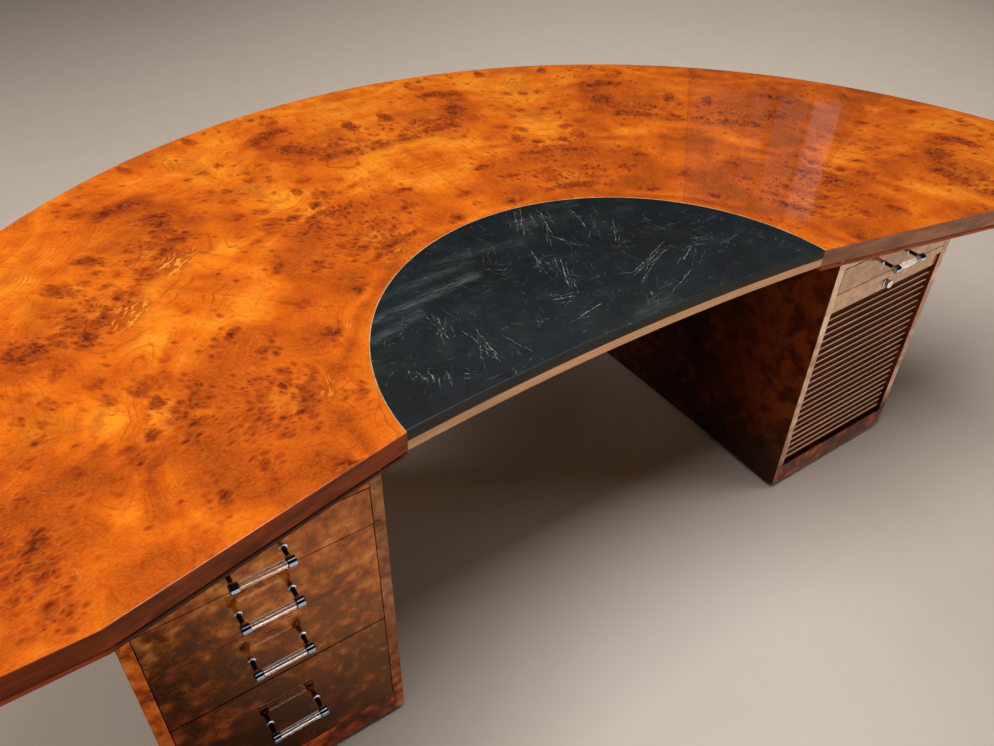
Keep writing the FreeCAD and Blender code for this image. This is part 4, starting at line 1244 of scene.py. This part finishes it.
def canvas_sheet(left, right, y, low, high):
    """The cloth that the slats are glued to, with the faint ripple of its weave."""
    points, faces = [], []
    size = CLOTH_ROWS + 1
    for i in range(CLOTH_COLUMNS + 1):
        for k in range(size):
            x = left + (right - left) * i / CLOTH_COLUMNS
            z = low + (high - low) * k / CLOTH_ROWS
            points.append((x, y + CLOTH_RIPPLE * math.sin(40.0 * i) * math.sin(55.0 * k), z))
            if i < CLOTH_COLUMNS and k < CLOTH_ROWS:
                a = i * size + k
                faces.append((a, a + 1, a + size + 1, a + size))
    graph = Graph("grey canvas")
    place = graph.place()
    wave = {"Vector": place, "Scale": 300.0, "Distortion": 0.6}
    threads = [graph.take("ShaderNodeTexWave", "Fac", wave, bands_direction=way) for way in "XZ"]
    weave = threads[0] * threads[1]
    colour = graph.mix(weave, srgb(74, 66, 56), srgb(126, 114, 98))
    material = graph.finish(colour, weave.step(0.0, 1.0, 0.92, 0.80),
                            graph.bump(weave, 0.4, 0.0002))
    cloth = new_piece("shutter_cloth", "desk", mesh_from("canvas", points, faces),
                      material)
    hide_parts("shutter_canvas")
    return cloth


# ================================================================ metal and clear parts
def chrome_metal():
    """Chrome with painted reflection and shade: the caps painted blue-white below and dark on top, the
    necks painted dark; the rosettes are dull.
    """
    graph = Graph("polished chrome")
    smear = graph.place().noise(90.0, 3.0)
    colour = graph.mix(smear.step(0.3, 0.7), srgb(222, 232, 244), srgb(204, 214, 226))
    facing = graph.take("ShaderNodeNewGeometry", "Normal").split()[2]
    tarnish = graph.attribute("tarnish")
    # painted reflection and shade: blue-white below, dark where the caps face up, and dark necks
    cap = tarnish.step(0.2, 0.4) * facing.step(0.0, 0.40, 0.85)
    colour = colour.tinted(tarnish.step(0.2, 0.4), 186, 212, 240)
    colour = colour.tinted(cap, 60, 62, 68)
    colour = colour.tinted(tarnish.step(0.6, 0.9, 0.95), 48, 42, 38)
    dull = tarnish.step(-0.2, -0.8, 0.36)
    return graph.finish(colour, smear.step(0.35, 0.7, 0.11, 0.05) + dull, metallic=1.0)


def plain_steel():
    graph = Graph("steel")
    lines = graph.place().stretch((1.0, 1.0, 0.05)).noise(500.0, 2.0)
    colour = graph.mix(lines, srgb(180, 180, 182), srgb(150, 150, 154))
    return graph.finish(colour, lines.step(0.3, 0.7, 0.4, 0.25), metallic=1.0)


def clear_rod():
    graph = Graph("clear acrylic")
    haze = graph.place().noise(120.0, 2.0)
    colour = graph.mix(haze, srgb(250, 251, 252), srgb(240, 243, 245))
    return graph.finish(colour, haze.step(0.3, 0.7, 0.01), transmission_weight=1.0, ior=1.42,
                        coat_weight=1.0, coat_roughness=0.02, coat_ior=1.95)


def turned(bm, outline, origin, axis, steps=40, mark=None):
    """Adds a turned form: outline is (distance along the axis, radius) from end to end."""
    axis = Vector(axis).normalized()
    side = axis.orthogonal().normalized()
    other = axis.cross(side)
    rings = []
    for along, radius in outline:
        centre = Vector(origin) + axis * along
        if radius < 1e-6:
            rings.append([bm.verts.new(centre)])
            continue
        rings.append([bm.verts.new(centre + (side * math.cos(t) + other * math.sin(t)) * radius)
                      for t in (2.0 * math.pi * k / steps for k in range(steps))])
    for first, second in zip(rings, rings[1:]):
        for k in range(steps):
            after = (k + 1) % steps
            if len(first) == 1:
                bm.faces.new((first[0], second[after], second[k]))
            elif len(second) == 1:
                bm.faces.new((first[k], first[after], second[0]))
            else:
                bm.faces.new((first[k], first[after], second[after], second[k]))
    layer, zones = mark or (None, ())
    for start, end, value in zones:
        for (along, _), ring in zip(outline, rings):
            if start < along < end:
                for vert in ring:
                    vert[layer] = value


def tenths(pairs):
    """Pairs of tenths of a millimetre, in metres."""
    return [(along / 10000.0, radius / 10000.0) for along, radius in pairs]


# rosette, neck and collar, from the drawer's front outwards
POST_OUTLINE = tenths([(0, 0), (0, 73), (3, 76), (7, 76), (10, 74), (18, 50), (22, 46), (36, 44),
                       (60, 43), (120, 41), (175, 42), (200, 45), (215, 52), (230, 54), (255, 54),
                       (280, 0)])
# from the cap's closed end to the mouth that takes the rod
CAP_OUTLINE = tenths([(-80, 0), (-80, 66), (-78, 76), (-73, 84), (-66, 89), (-58, 90), (58, 90),
                      (64, 89), (70, 86), (75, 82), (78, 77), (80, 71), (80, 0)])
# start, end and painted shade zone: -1 is the dull rosette, 0.5 the cap with its painted reflection and
# 1 the neck painted dark
POST_ZONES = [(-0.001, 0.0020, -1.0), (0.0020, 0.0222, 1.0)]
CAP_ZONES = [(-1.0, 1.0, 0.5)]
ROD_STEPS = 72


def polished_ends(length, radius):
    """Outline of a rod whose ends are chamfered by half a millimetre."""
    half = [(0.0, 0.0), (0.0, radius - 0.0005), (0.0005, radius), (0.0010, radius)]
    return half + [(length - along, around) for along, around in reversed(half)]


def handle(number, metal, clear):
    """Two turned chrome posts with caps, and a clear rod with polished ends between them."""
    body = "drawer_%d" % number
    posts_low, posts_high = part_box(body + "_handle_posts")
    rod_low, rod_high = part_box(body + "_handle_rod")
    front_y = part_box(body + "_front")[0].y
    axis_y, axis_z = (rod_low.y + rod_high.y) / 2.0, (rod_low.z + rod_high.z) / 2.0
    half_cap = CAP_OUTLINE[-1][0]
    bm = bmesh.new()
    tarnish = bm.verts.layers.float.new("tarnish")
    for side, x in ((-1, posts_low.x + half_cap), (1, posts_high.x - half_cap)):
        turned(bm, POST_OUTLINE, (x, front_y, axis_z), (0, -1, 0), mark=(tarnish, POST_ZONES))
        turned(bm, CAP_OUTLINE, (x, axis_y, axis_z), (-side, 0, 0), mark=(tarnish, CAP_ZONES))
    piece = new_piece("handle_%d_posts" % number, body, mesh_of(bm, "posts"), metal,
                      sharp=50.0)
    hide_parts(body + "_handle_posts")
    radius = (rod_high.z - rod_low.z) / 2.0
    outline = polished_ends(rod_high.x - rod_low.x, radius)
    bm = bmesh.new()
    turned(bm, outline, (rod_low.x, axis_y, axis_z), (1, 0, 0), ROD_STEPS)
    rod = new_piece("handle_%d_rod" % number, body, mesh_of(bm, "rod"), clear, sharp=30.0)
    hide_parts(body + "_handle_rod")


def dress_hardware():
    metal = chrome_metal()
    clear = clear_rod()
    for number in range(1, 6):
        handle(number, metal, clear)
    dress(["lock_barrel", "lock_plug"], metal, METAL_EDGE)
    dress(["top_screws", "lock_bolt", "lock_strike"], plain_steel())


# ================================================================ the whole scene
make_camera()
make_world()
studio_floor = make_floor()
veneer_sheet = veneer_top()
leather_top()
make_lights([studio_floor, veneer_sheet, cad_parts["bead_moulding"]])
dress_woods()
shutter_slats()
dress_hardware()

bpy.context.scene.view_settings.view_transform = "Standard"
